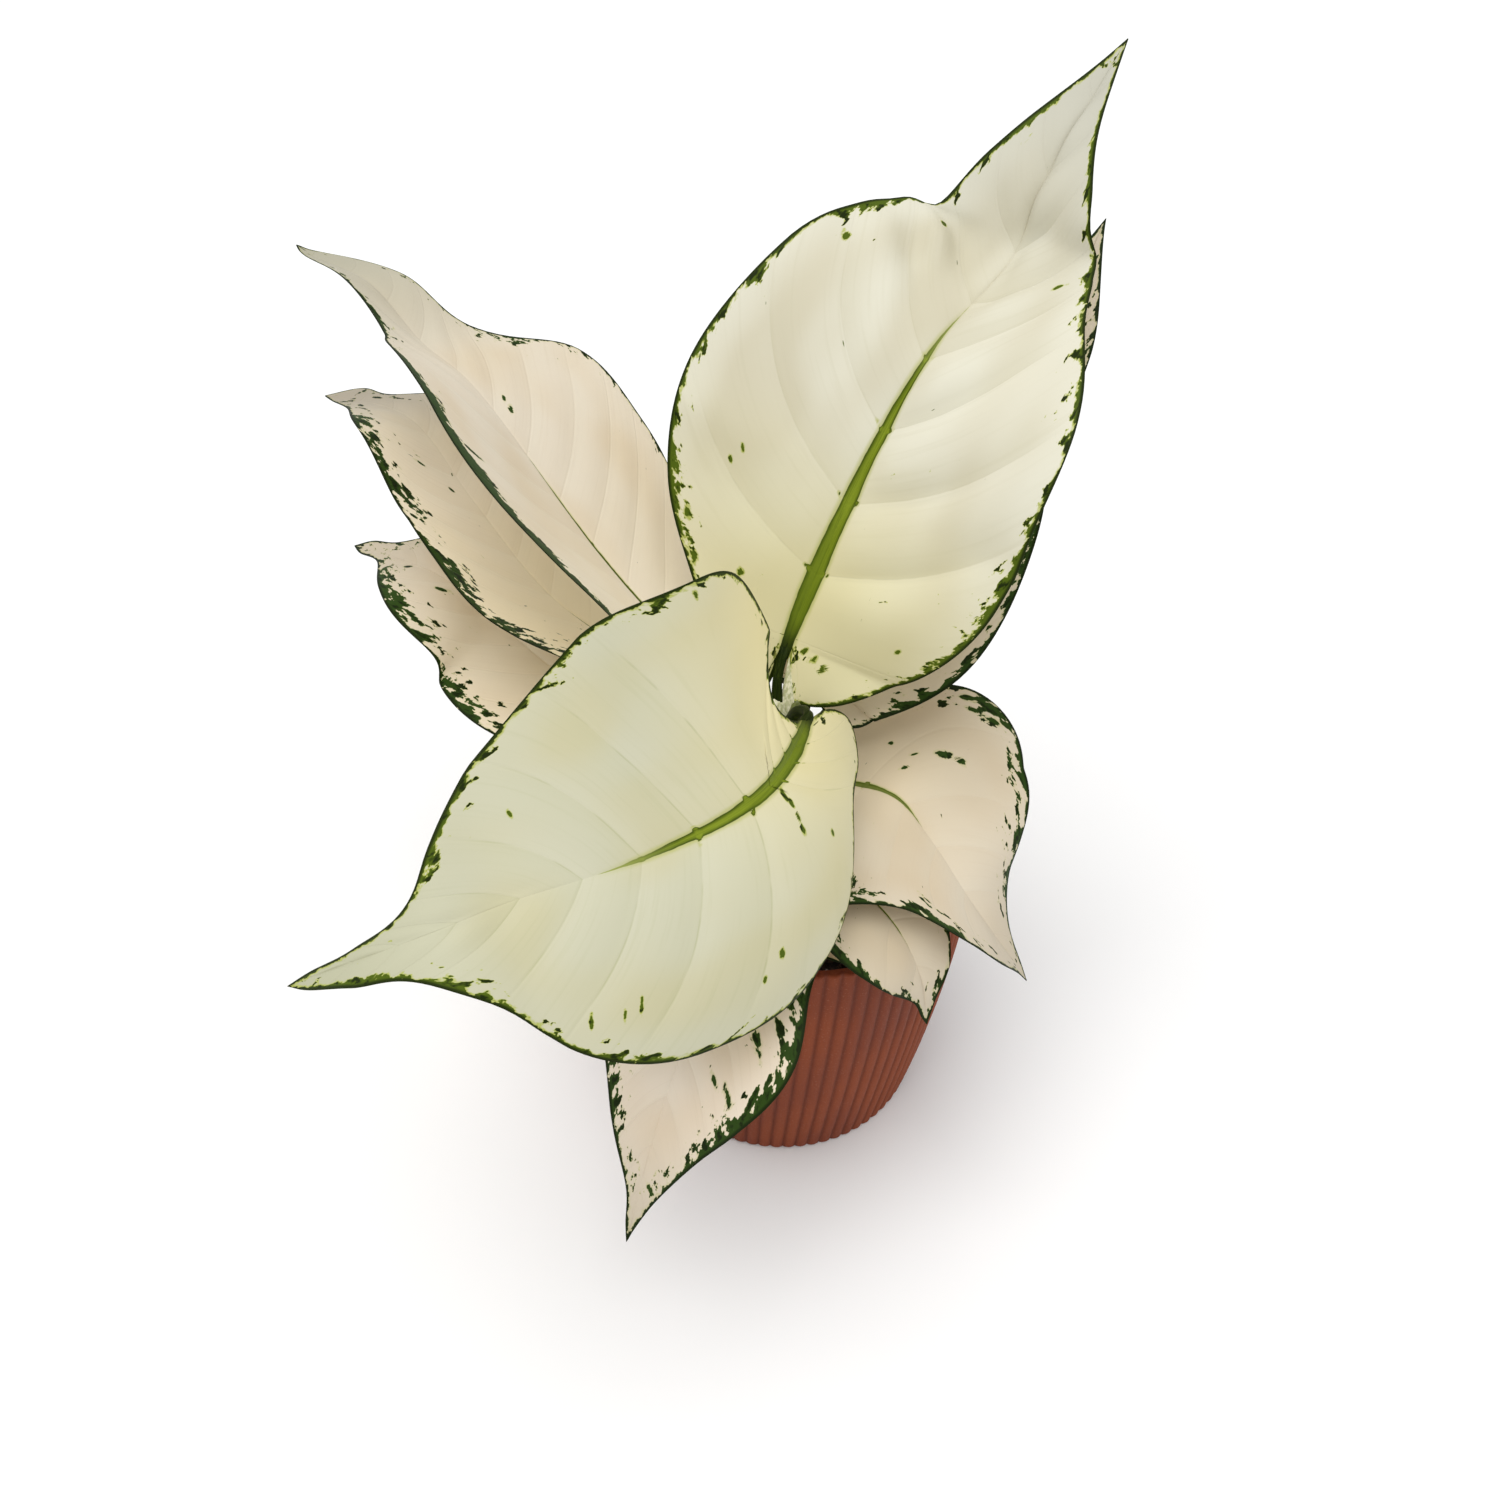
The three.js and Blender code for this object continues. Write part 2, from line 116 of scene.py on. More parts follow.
def smooth_path(points, places):
    """The curve through the points, read at places counted in spans from the first point.

    Between b and c, with a before and d after them, and t from 0 to 1, it is
    b + (c - a) t/2 + (2a - 5b + 4c - d) t^2/2 + (3b - a - 3c + d) t^3/2."""
    points = np.asarray(points, float)
    held = np.vstack([2 * points[0] - points[1], points, 2 * points[-1] - points[-2]])
    span = np.clip(np.floor(places).astype(int), 0, len(points) - 2)
    t = (places - span)[..., None]
    a, b, c, d = (held[span + k] for k in range(4))
    straight = b + (c - a) * t / 2
    return straight + (2 * a - 5 * b + 4 * c - d) * t**2 / 2 + (3 * b - a - 3 * c + d) * t**3 / 2


def unit(vectors):
    """The vectors at length one."""
    return vectors / np.linalg.norm(vectors, axis=-1, keepdims=True)


def ease(low, high, x):
    """0 below low, 1 above high, and a soft S between them."""
    t = np.clip((x - low) / (high - low), 0, 1)
    return t * t * (3 - 2 * t)


# %% [markdown]
# A finish is a tree of shader nodes, which is often wired by hand in the shader editor. In a
# script, a few words of shorthand keep such trees readable: one adds a node and wires its inputs,
# and the others are the sums, blends and noises that every finish here needs.

# %% Shorthand for finishes


def add(tree, kind, inputs=None, output=0, **options):
    """Adds a node, sets its options, wires or fills its inputs, and gives back one output."""
    node = tree.nodes.new(kind)
    for option, value in options.items():
        setattr(node, option, value)
    for key, value in (inputs or {}).items():
        if isinstance(value, bpy.types.NodeSocket):
            tree.links.new(value, node.inputs[key])
        else:
            node.inputs[key].default_value = value
    return node.outputs[output]


def sum_of(tree, operation, first, second=0.0):
    """One sum of two numbers, such as ADD, MULTIPLY or MAXIMUM."""
    return add(tree, "ShaderNodeMath", {0: first, 1: second}, operation=operation)


def remap(tree, value, low, high, new_low=0.0, new_high=1.0):
    """Softly turns the range low to high into new_low to new_high, and holds it outside."""
    inputs = {"Value": value, "From Min": low, "From Max": high}
    inputs.update({"To Min": new_low, "To Max": new_high})
    return add(tree, "ShaderNodeMapRange", inputs, interpolation_type="SMOOTHSTEP")


def blend(tree, share, first, second):
    """One colour at share 0, the other at share 1."""
    colours = [c if isinstance(c, bpy.types.NodeSocket) else (*c, 1) for c in (first, second)]
    inputs = {0: share, 6: colours[0], 7: colours[1]}
    return add(tree, "ShaderNodeMix", inputs, output=2, data_type="RGBA")


def noise(tree, place, stretch, seed=0.0, detail=2.0, roughness=0.5):
    """Soft random values about 0.5. Stretch is how many spots there are per unit each way."""
    inputs = {"Vector": place, "Location": (seed, -seed, seed), "Scale": stretch}
    moved = add(tree, "ShaderNodeMapping", inputs)
    inputs = {"Vector": moved, "Scale": 1.0, "Detail": detail, "Roughness": roughness}
    return add(tree, "ShaderNodeTexNoise", inputs)


# %% Starting, roughening and using a finish


def new_finish(name):
    """An empty material, its node tree and its shader."""
    material = bpy.data.materials.new(name)
    material.use_nodes = True
    tree = material.node_tree
    return material, tree, tree.nodes["Principled BSDF"]


def relief(tree, shader, height, depth, strength=1.0):
    """Lets a height from 0 to 1 catch the light as a relief of that depth in metres."""
    inputs = {"Height": height, "Distance": depth, "Strength": strength}
    bumped = add(tree, "ShaderNodeBump", inputs)
    tree.links.new(bumped, shader.inputs["Normal"])


def dress(piece, *finishes):
    """Gives a piece its finishes, in order."""
    for finish in finishes:
        piece.data.materials.append(finish)
        print(f"{piece.name} wears {finish.name}, a tree of {len(finish.node_tree.nodes)} nodes")


# %% [markdown]
# ## The pot
#
# The real pot is fired clay, pressed into narrow rounded ribs with sharp grooves between them,
# and ribbed right up to the rim. It could be carved or bevelled, but it is simply a profile
# carried round a circle, where the radius also depends on the angle, so it is worked out as one
# sheet that is closed at the middle of its underside and of its floor.

# %% The pot's profile
pot_height = 125.0
pot_rim = 70.0
pot_foot = 60.0
pot_wall = 4.0
pot_floor = 6.0
foot_round = 2.5
foot_ring = 49.0
foot_hollow = 2.2
rib_count = 72
rib_depth = 1.3
corners_per_rib = 12


def rounded(start, corner, end, steps=6):
    """A round corner: the curve that leaves start towards corner and arrives at end from it."""
    t = np.linspace(0, 1, steps)[:, None]
    start, corner, end = (np.array(point, float) for point in (start, corner, end))
    return (1 - t) ** 2 * start + 2 * t * (1 - t) * corner + t**2 * end


def pot_radius(height):
    """The belly: rim radius less the difference to the foot times (1 - height/pot height)^2."""
    return pot_rim - (pot_rim - pot_foot) * (1 - height / pot_height) ** 2


def pot_profile():
    """Radius and height from the middle of the underside, over the rim, to the middle of the floor.

    The third number says how much of the ribs that place has."""
    edge, top, ring = foot_round, pot_height, foot_ring
    inner_rim = pot_rim - pot_wall
    inner_foot = pot_foot - pot_wall
    under = [[1, foot_hollow, 0], [12, foot_hollow, 0], [ring - 5, foot_hollow, 0]]
    under += [[ring - 2, 1.4, 0], [ring - 1, 0.2, 0], [ring, 0, 0]]
    foot = rounded([pot_foot - edge, 0, 0], [pot_foot, 0, 0.6], [pot_radius(edge), edge, 1])
    heights = np.linspace(edge + 3, top - 3, 36)
    wall = np.stack([pot_radius(heights), heights, np.ones_like(heights)], -1)
    outer_lip = rounded([pot_rim, top - 1.2, 1], [pot_rim, top, 1], [pot_rim - 1.3, top, 0.7])
    inner_lip = rounded([inner_rim + 1.2, top, 0.1], [inner_rim, top, 0], [inner_rim, top - 1.5, 0])
    down = np.linspace(top - 5, pot_floor + 5, 12)
    share = (down - pot_floor) / (top - pot_floor)
    inside = np.stack([inner_foot + (inner_rim - inner_foot) * share, down, 0 * down], -1)
    corner = [inner_foot, pot_floor, 0]
    cove = rounded([inner_foot, pot_floor + 3, 0], corner, [inner_foot - 4, pot_floor, 0])
    floor = [[30, pot_floor, 0], [1, pot_floor, 0]]
    return np.vstack([under, foot, wall, outer_lip, inner_lip, inside, cove, floor])


profile = pot_profile()
print(f"pot profile: {len(profile)} stations")

# %% [markdown]
# Across a rib the wall swells like half a wave. The ribs could be separate rods set round a cup,
# but real ones grow out of the wall. A plain wave would leave grooves as wide as the ribs. Raising
# the half wave to a power below one makes the ribs full and the grooves narrow.

# %% The ribs, and the pot as one closed sheet
angles = np.linspace(0, 2 * np.pi, rib_count * corners_per_rib, endpoint=False)
rib_fullness = 0.75
rib_swell = np.abs(np.sin(rib_count * angles / 2)) ** rib_fullness
pot_reach = profile[:, :1] - profile[:, 2:] * rib_depth * (1 - rib_swell)
pot_rings = np.stack(
    [
        pot_reach * np.cos(angles),
        pot_reach * np.sin(angles),
        np.broadcast_to(profile[:, 1:2], pot_reach.shape),
    ],
    -1,
)
pot = mesh_piece(
    "fluted_pot",
    tube_points(pot_rings),
    tube_faces(len(profile), len(angles)),
    "pot",
)

# %% [markdown]
# The grooves are painted darker than the ribs. This is partly dust and old water stains that gather
# there, and partly painted shade, because little light gets in. A shader could find that shade from the
# light that reaches the grooves, but an exported model would lose it. So the mesh remembers for each
# corner how deep in a groove it lies, and the finish reads that number.

# %% How deep each corner of the pot lies in a groove


def remember(piece, name, values):
    """Stores one number for each corner of the piece, for its finish to read."""
    stored = piece.data.attributes.new(name, "FLOAT", "POINT")
    stored.data.foreach_set("value", np.asarray(values, np.float32).ravel())


groove = np.broadcast_to((1 - rib_swell) * (profile[:, 2:] > 0.5), pot_reach.shape)
remember(pot, "groove", np.append(groove.ravel(), [0, 0]))

# %% [markdown]
# Unglazed clay is matt and never one colour: the firing leaves broad warm and cool patches, fine
# dark and pale grains show in it, and it feels slightly sandy. A picture of clay could be wrapped
# round the pot, but noises read at the pot's own coordinates have no seam and fit any scale.

# %% The clay
duller_clay = (0.19, 0.037, 0.011)
warmer_clay = (0.24, 0.053, 0.017)
dark_grain = (0.11, 0.030, 0.018)
pale_grain = (0.36, 0.15, 0.10)
# The groove colour is stain and painted shade together.
groove_stain_and_shade = (0.11, 0.026, 0.014)


def fired_clay():
    """Pinkish terracotta: broad patches, grains, grooves darkened by stains and painted shade, and a
    sandy relief.
    """
    material, tree, shader = new_finish("fired_clay")
    place = add(tree, "ShaderNodeTexCoord", output="Object")
    patches = noise(tree, place, (28, 28, 18), detail=3)
    colour = blend(tree, remap(tree, patches, 0.35, 0.65), duller_clay, warmer_clay)
    grains = noise(tree, place, (1400, 1400, 1400), seed=3, detail=2)
    colour = blend(tree, remap(tree, grains, 0.62, 0.75, 0, 0.35), colour, dark_grain)
    colour = blend(tree, remap(tree, grains, 0.40, 0.28, 0, 0.30), colour, pale_grain)
    depth = add(tree, "ShaderNodeAttribute", output="Fac", attribute_name="groove")
    # Painted shade in the grooves, together with their stains, darker the deeper a corner lies.
    colour = blend(tree, remap(tree, depth, 0.10, 0.9, 0, 0.5), colour, groove_stain_and_shade)
    tree.links.new(colour, shader.inputs["Base Color"])
    tree.links.new(remap(tree, patches, 0.3, 0.7, 0.72, 0.86), shader.inputs["Roughness"])
    shader.inputs["Specular IOR Level"].default_value = 0.3
    sand = noise(tree, place, (900, 900, 900), seed=7, detail=4, roughness=0.65)
    relief(tree, shader, sand, 0.0002, 0.6)
    return material


dress(pot, fired_clay())

# %% [markdown]
# ## The soil
#
# Potting soil is dark and crumbly: a lumpy surface with separate crumbs of peat and bark and a
# few pale grains on it. The body is a low dome with random lumps. They could come from a
# displacement modifier, but a height worked out here also says where a crumb has to lie. Random
# heights are drawn on a coarse grid and read softly in between, twice over, with finer and lower
# lumps the second time.

# %% Random lumps over a plane


def lumps(x, y, size, seed):
    """Random heights from -1 to 1 at points x, y: values on a grid of that size, softly joined."""
    table = np.random.default_rng(seed).uniform(-1, 1, (64, 64))
    column, row = np.floor(x / size).astype(int), np.floor(y / size).astype(int)
    u, v = ease(0, 1, x / size - column), ease(0, 1, y / size - row)
    near = table[row % 64, column % 64] * (1 - u) + table[row % 64, (column + 1) % 64] * u
    far = table[(row + 1) % 64, column % 64] * (1 - u) + table[(row + 1) % 64, (column + 1) % 64] * u
    return near * (1 - v) + far * v


# %% The height of the soil
soil_top = 111.0
soil_dome = 3.0
soil_reach = 55.0
tallest_lump = 1.5
fit_gap = 0.35


def soil_height(x, y):
    """The dome, which falls by soil dome times (distance/reach)^2 from the soil's top less its
    tallest lump, with coarse and fine lumps."""
    fall = soil_dome * np.clip(np.hypot(x, y) / soil_reach, 0, 1.2) ** 2
    dome = soil_top - tallest_lump - fall
    return dome + 0.9 * lumps(x, y, 7, 1) + 0.55 * lumps(x, y, 2.6, 2)


print("soil's height at its middle:", round(float(soil_height(0.0, 0.0)), 1))


# %% The soil as one closed sheet
cup_slope = (pot_rim - pot_foot) / (pot_height - pot_floor)


def cup_radius(height):
    """Radius of the soil's side, which follows the inside of the pot and leaves it a small gap."""
    return pot_foot - pot_wall + cup_slope * (height - pot_floor) - fit_gap


soil_angles = np.linspace(0, 2 * np.pi, 160, endpoint=False)
top_reach = np.linspace(cup_radius(soil_top - 5), 1.2, 52)[:, None]
top_x = top_reach * np.cos(soil_angles)
top_y = top_reach * np.sin(soil_angles)
soil_surface = np.stack([top_x, top_y, soil_height(top_x, top_y)], -1)
side_heights = np.linspace(pot_floor + fit_gap, soil_top - 7, 10)[:, None]
side_reach = cup_radius(side_heights)
side_z = np.broadcast_to(side_heights, (10, 160))
soil_side = np.stack([side_reach * np.cos(soil_angles), side_reach * np.sin(soil_angles), side_z], -1)
soil_rings = np.concatenate([soil_side[:1] * [0.5, 0.5, 1], soil_side, soil_surface])
soil = mesh_piece(
    "potting_soil",
    tube_points(soil_rings),
    tube_faces(len(soil_rings), len(soil_angles)),
    "soil",
)

# %% [markdown]
# The loose crumbs are dented balls of 28 faces, because a shape that is repeated so often must
# stay simple. Blender could scatter them as instances, but one mesh keeps them in the exported
# model. A fixed seed scatters them the same way every time, and each rests on the surface that
# carries it.

# %% Crumbs on the soil


def crumb_cloud(count, smallest, largest, seed):
    """Corners and faces of small dented balls that lie on the soil, between the cane and the pot."""
    random = np.random.default_rng(seed)
    sides, rings = 7, 3
    turn = np.arange(sides) / sides * 2 * np.pi
    rise = np.array([-0.6, 0.1, 0.75])[:, None]
    girth = np.sqrt(1 - rise**2)
    up = np.broadcast_to(rise, (rings, sides))
    ball = np.stack([girth * np.cos(turn), girth * np.sin(turn), up], -1)
    size = random.uniform(smallest, largest, (count, 1, 1, 1))
    stretch = random.uniform(0.6, 1.3, (count, 1, 1, 3)) * [1, 1, 0.7]
    dents = random.uniform(0.8, 1.15, (count, rings, sides, 1))
    distance = np.sqrt(random.uniform(13**2, 60**2, count))
    heading = random.uniform(0, 2 * np.pi, count)
    x, y = distance * np.cos(heading), distance * np.sin(heading)
    middles = np.stack([x, y, soil_height(x, y) + 0.25 * size.ravel()], -1)
    balls = ball * dents * size * stretch + middles[:, None, None]
    points, faces = [], []
    for number, rows in enumerate(balls):
        points.append(tube_points(rows))
        faces += tube_faces(rings, sides, number * (rings * sides + 2))
    return np.vstack(points), faces


crumb_points, crumb_faces = crumb_cloud(420, 0.6, 1.9, 5)
crumbs = mesh_piece("soil_crumbs", crumb_points, crumb_faces, None)
grain_points, grain_faces = crumb_cloud(46, 0.6, 1.4, 8)
grains = mesh_piece("pale_grains", grain_points, grain_faces, None)

# %% [markdown]
# Moist peat is nearly black, and browner where it has dried. The pale grains are puffed mineral,
# which keeps the soil loose. A picture of soil could show all of it at once, but the crumbs are
# real shapes here, so each finish is only a noise at the scale of what it is made of.

# %% The soil's finishes
moist_peat = (0.012, 0.008, 0.006)
dry_peat = (0.065, 0.042, 0.028)
stained_mineral = (0.30, 0.25, 0.20)
clean_mineral = (0.70, 0.68, 0.63)


def earth():
    """Almost black brown, in dark and lighter lumps, quite dry and rough."""
    material, tree, shader = new_finish("potting_soil")
    place = add(tree, "ShaderNodeTexCoord", output="Object")
    clods = noise(tree, place, (260, 260, 260), detail=5, roughness=0.7)
    colour = blend(tree, remap(tree, clods, 0.38, 0.66), moist_peat, dry_peat)
    tree.links.new(colour, shader.inputs["Base Color"])
    shader.inputs["Roughness"].default_value = 0.95
    shader.inputs["Specular IOR Level"].default_value = 0.2
    relief(tree, shader, clods, 0.0012)
    return material


def pale_mineral():
    """Puffed mineral grains: off-white, pitted and matt, a little stained by the soil."""
    material, tree, shader = new_finish("pale_mineral")
    place = add(tree, "ShaderNodeTexCoord", output="Object")
    pits = noise(tree, place, (900, 900, 900), detail=3)
    colour = blend(tree, remap(tree, pits, 0.35, 0.6), stained_mineral, clean_mineral)
    tree.links.new(colour, shader.inputs["Base Color"])
    shader.inputs["Roughness"].default_value = 0.9
    relief(tree, shader, pits, 0.0005)
    return material


soil_finish = earth()
dress(soil, soil_finish)
dress(crumbs, soil_finish)
dress(grains, pale_mineral())

# %% [markdown]
# ## The cane
#
# The cane is a finger-thick green stem. Every leaf that ever grew on it has left a ring where its
# foot clasped the stem, so it looks jointed. A bevelled curve could make it, but only with a
# second curve for its radius. So it is a circle carried along a curved path, whose radius swells
# a little just under each ring, drops back above it, and rounds off at the tip.

# %% The cane's shape
cane_path = [[-8, -2, 84], [-8, -2, 110], [-8, -2, 145], [-7, -3, 178], [-6, -3.5, 197]]
cane_radii = [[7], [7], [6.2], [4.6], [1.4]]
ring_spacing = 0.26
ring_swell = 0.05
tip_rings = 6
cane_turn = np.linspace(0, 2 * np.pi, 36, endpoint=False)
cane_places = np.linspace(0, len(cane_path) - 1, 150)
cane_middle = smooth_path(cane_path, cane_places)
cane_radius = smooth_path(cane_radii, cane_places)[:, 0]
ring_phase = (cane_places / ring_spacing) % 1
scar = np.exp(-(((ring_phase - 0.5) / 0.07) ** 2))
cane_radius = cane_radius * (0.94 + ring_swell * ring_phase - ring_swell * scar)
cane_radius[-tip_rings:] *= np.sqrt(np.linspace(1, 0.05, tip_rings))
circle = np.stack([np.cos(cane_turn), np.sin(cane_turn), 0 * cane_turn], -1)
cane_rings = cane_middle[:, None] + cane_radius[:, None, None] * circle
cane = mesh_piece(
    "cane_stem",
    tube_points(cane_rings),
    tube_faces(len(cane_places), len(cane_turn)),
    "cane",
)
remember(cane, "scar", np.append(np.repeat(scar, len(cane_turn)), [0, 0]))

# %% [markdown]
# Between its rings the stem is green and finely streaked, and each ring is a papery brown scar.
# A stripe texture could draw the rings, but wouldn't know where the stem swells. The mesh does,
# so the finish reads the scars from it.

# %% The cane's finish
stem_shade = (0.045, 0.10, 0.018)
stem_light = (0.13, 0.22, 0.05)
young_stem = (0.14, 0.15, 0.04)
papery_scar = (0.22, 0.15, 0.08)


def green_stem():
    """Mid green with pale streaks along it, brown papery rings, and a soft gloss."""
    material, tree, shader = new_finish("green_stem")
    place = add(tree, "ShaderNodeTexCoord", output="Object")
    streaks = noise(tree, place, (500, 500, 60), detail=3)
    colour = blend(tree, remap(tree, streaks, 0.35, 0.65), stem_shade, stem_light)
    height = add(tree, "ShaderNodeSeparateXYZ", {0: place}, output=2)
    colour = blend(tree, remap(tree, height, 0.178, 0.198, 0, 0.8), colour, young_stem)
    ring = add(tree, "ShaderNodeAttribute", output="Fac", attribute_name="scar")
    colour = blend(tree, remap(tree, ring, 0.3, 0.9, 0, 0.85), colour, papery_scar)
    tree.links.new(colour, shader.inputs["Base Color"])
    tree.links.new(remap(tree, streaks, 0.3, 0.7, 0.38, 0.52), shader.inputs["Roughness"])
    relief(tree, shader, streaks, 0.0003, 0.5)
    return material


dress(cane, green_stem())

# %% [markdown]
# ## The leaves
#
# A leaf is a sheet that was flat when it was young and has since been bent. It could be sculpted,
# or cut from a plane and bent by modifiers. Here each leaf is described twice over in a few
# numbers, by its flat outline and by how that flat shape hangs in space, because the solids are
# made from the same numbers, and the fine leaf then lies where its solid does. The flat shape has
# a midrib and half-widths left and right of it. In space the midrib is a curve, and the blade is
# banked about it, folded up along it, curled at its edges and rippled.
#
# The two young leaves stand highest. The first leans back and shows its whole upper face. The
# second reaches forward and down, and its near side rolls under.

# %% What every leaf needs to be told
# petiole, midrib: points along the stalk and the blade. left, right: half-widths at the stations.
# lobe: how far the heart-shaped base reaches back left and right, or is cut back if below zero.
# square_lobes: the lobes hang down close by the stalk. bank, fold, curl_left, curl_right:
# degrees, from the base to the tip. wave: height, count and phase of the ripple in the edges.
# Stations are shares of the blade's length, and lengths are in mm.
stations = np.array([0.04, 0.16, 0.3, 0.45, 0.6, 0.74, 0.86, 0.95])
leaf_forms = {}
leaf_forms["leaf_upper_right"] = {
    "petiole": [[-8, -2, 168], [-13, 3, 190]],
    "midrib": [[-11, 13, 210], [8, 33, 264], [29, 55, 305], [55, 89, 324], [63, 99, 348], [85, 121, 389]],
    "left": [39, 61, 70, 64, 49, 28, 15, 5],
    "right": [49, 63, 66, 62, 40, 30, 14, 5],
    "lobe": [20, 20],
    "square_lobes": True,
    "bank": [-31, -12, 7],
    "fold": [14, 22],
    "curl_left": [0, -3],
    "curl_right": [-6, -1],
    "wave": [0.8, 3, 40],
}
leaf_forms["leaf_front_left"] = {
    "petiole": [[-8, -2, 177], [-6, -11, 198]],
    "midrib": [
        [-3, -30, 211], [-17, -78, 221], [-49, -104, 217],
        [-86, -125, 216], [-109, -137, 212], [-154, -131, 177],
    ],
    "left": [32, 56, 67, 63, 45, 14, 8, 4],
    "right": [39, 67, 73, 66, 43, 12, 4, 2],
    "lobe": [34, -22],
    "bank": [45, 41, 20],
    "fold": [10, 3],
    "curl_left": [-60, -9],
    "curl_right": [38, -13],
    "wave": [0.5, 2, 0],
}

# %% [markdown]
# Three older leaves fan out to the left, one below the other. They are narrower and flatter,
# and the tip of the highest one winds off to the side, which takes two more points along its
# midrib.

# %% The three leaves on the left
leaf_forms["leaf_upper_left"] = {
    "petiole": [[-8, -2, 158], [-18, -3, 178]],
    "midrib": [
        [-28, -2, 191], [-76, 19, 233], [-123, 49, 278], [-147, 66, 288],
        [-168, 83, 300], [-193, 98, 302], [-199, 102, 304],
    ],
    "left": [32, 49, 57, 56, 43, 18, 14, 5],
    "right": [28, 45, 56, 60, 57, 24, 18, 11],
    "lobe": [8, 8],
    "bank": [-24, -24, -20],
    "fold": [13, 6],
    "curl_left": [-4, 11],
    "curl_right": [11, 22],
    "wave": [1.2, 2.5, 90],
}
leaf_forms["leaf_left"] = {
    "petiole": [[-8, -2, 146], [-24, -1, 166]],
    "midrib": [[-51, 11, 188], [-98, 33, 206], [-131, 57, 230], [-158, 79, 250], [-198, 105, 242]],
    "left": [35, 44, 51, 41, 35, 27, 11, 4],
    "right": [33, 46, 49, 43, 35, 29, 12, 12],
    "lobe": [8, 8],
    "bank": [-24, -16, -5],
    "fold": [7, 7],
    "curl_left": [1, -3],
    "curl_right": [-8, -3],
    "wave": [1.2, 3, 0],
}
leaf_forms["leaf_lower_left"] = {
    "petiole": [[-8, -2, 136], [-24, 3, 152]],
    "midrib": [[-41, 18, 162], [-84, 21, 173], [-120, 43, 183], [-147, 54, 198], [-190, 90, 183]],
    "left": [31, 39, 42, 40, 32, 19, 5, 3],
    "right": [31, 39, 43, 40, 32, 20, 8, 5],
    "lobe": [8, 8],
    "bank": [-5, 6, 15],
    "fold": [10, 11],
    "curl_left": [-11, -14],
    "curl_right": [-10, -8],
    "wave": [1.5, 3, 180],
}

# %% [markdown]
# On the right, one leaf hides behind the large one, one droops beside it, and a small one hangs
# over the rim of the pot.

# %% The three leaves on the right
leaf_forms["leaf_back_right"] = {
    "petiole": [[-8, -2, 152], [-3, 9, 172]],
    "midrib": [[2, 23, 187], [29, 43, 205], [49, 79, 249], [79, 114, 285], [98, 153, 317]],
    "left": [18, 30, 36, 36, 28, 18, 9, 3],
    "right": [29, 35, 38, 36, 27, 18, 9, 3],
    "lobe": [10, 10],
    "bank": [-18, -5, 7],
    "fold": [5, 9],
    "curl_left": [-10, -10],
    "curl_right": [-16, -8],
    "wave": [1, 3, 60],
}
leaf_forms["leaf_right"] = {
    "petiole": [[-8, -2, 139], [-1, 1, 147]],
    "midrib": [[8, 7, 149], [32, -9, 160], [47, -21, 151], [64, -38, 136], [87, -54, 114]],
    "left": [34, 49, 58, 52, 38, 25, 12, 5],
    "right": [16, 32, 47, 60, 37, 26, 18, 6],
    "lobe": [8, 8],
    "bank": [-20, 8, 33],
    "fold": [15, 10],
    "curl_left": [0, -6],
    "curl_right": [-12, -5],
    "wave": [1, 2, 0],
}
leaf_forms["leaf_rim_right"] = {
    "petiole": [[-8, -2, 126], [1, -15, 139]],
    "midrib": [[7, -31, 150], [21, -47, 150], [35, -58, 142], [45, -66, 127], [50, -73, 108]],
    "left": [12, 18, 24, 28, 24, 16, 6, 2],
    "right": [17, 26, 31, 31, 24, 15, 5, 2],
    "lobe": [7, 7],
    "bank": [12, 5, 0],
    "fold": [8, 8],
    "curl_left": [-10, -10],
    "curl_right": [-11, -12],
    "wave": [0.8, 2, 90],
}

# %% [markdown]
# In front, one leaf hangs down past the rim, and a small one just shows above it in the shade.

# %% The two leaves in front
leaf_forms["leaf_front"] = {
    "petiole": [[-8, -2, 132], [-15, -20, 148]],
    "midrib": [[-17, -44, 159], [-26, -78, 156], [-34, -105, 138], [-43, -123, 104], [-51, -141, 61]],
    "left": [27, 35, 35, 38, 28, 16, 7, 2],
    "right": [27, 35, 37, 34, 24, 14, 5, 2],
    "lobe": [9, 9],
    "bank": [1, 1, 1],
    "fold": [9, 9],
    "curl_left": [-10, -10],
    "curl_right": [-9, -8],
    "wave": [1, 2.5, 0],
}
leaf_forms["leaf_rim_small"] = {
    "petiole": [[-8, -2, 120], [-4, -18, 129]],
    "midrib": [[2, -36, 132], [14, -54, 132], [27, -61, 130], [37, -64, 129]],
    "left": [8, 12, 14, 13, 10, 7, 3, 1],
    "right": [8, 12, 14, 13, 10, 7, 3, 1],
    "lobe": [4, 4],
    "bank": [0, 0, 0],
    "fold": [6, 6],
    "curl_left": [-10, -10],
    "curl_right": [-10, -10],
    "wave": [0, 1, 0],
}
print(f"{len(leaf_forms)} leaves")

# %% [markdown]
# A real leaf hangs from its midrib, so the spine comes first: the smooth curve through stalk and
# midrib, with the distance from the blade's base written at every point of it. An armature of
# bones could bend a flat leaf as well, but its joints would show. Everything else about a leaf is
# counted along that distance.

# %% The spine of a leaf
steps_per_span = 40


def grow_spine(form):
    """Adds to a leaf's form its spine's points, directions and distances from the blade's base."""
    knots = form["petiole"] + form["midrib"]
    places = np.linspace(0, len(knots) - 1, (len(knots) - 1) * steps_per_span + 1)
    points = smooth_path(knots, places)
    steps = np.linalg.norm(np.diff(points, axis=0), axis=1)
    walked = np.concatenate([[0], np.cumsum(steps)])
    distance = walked - walked[len(form["petiole"]) * steps_per_span]
    spine = {"points": points, "distance": distance, "length": distance[-1]}
    spine["directions"] = unit(np.gradient(points, distance, axis=0))
    return {**form, **spine}


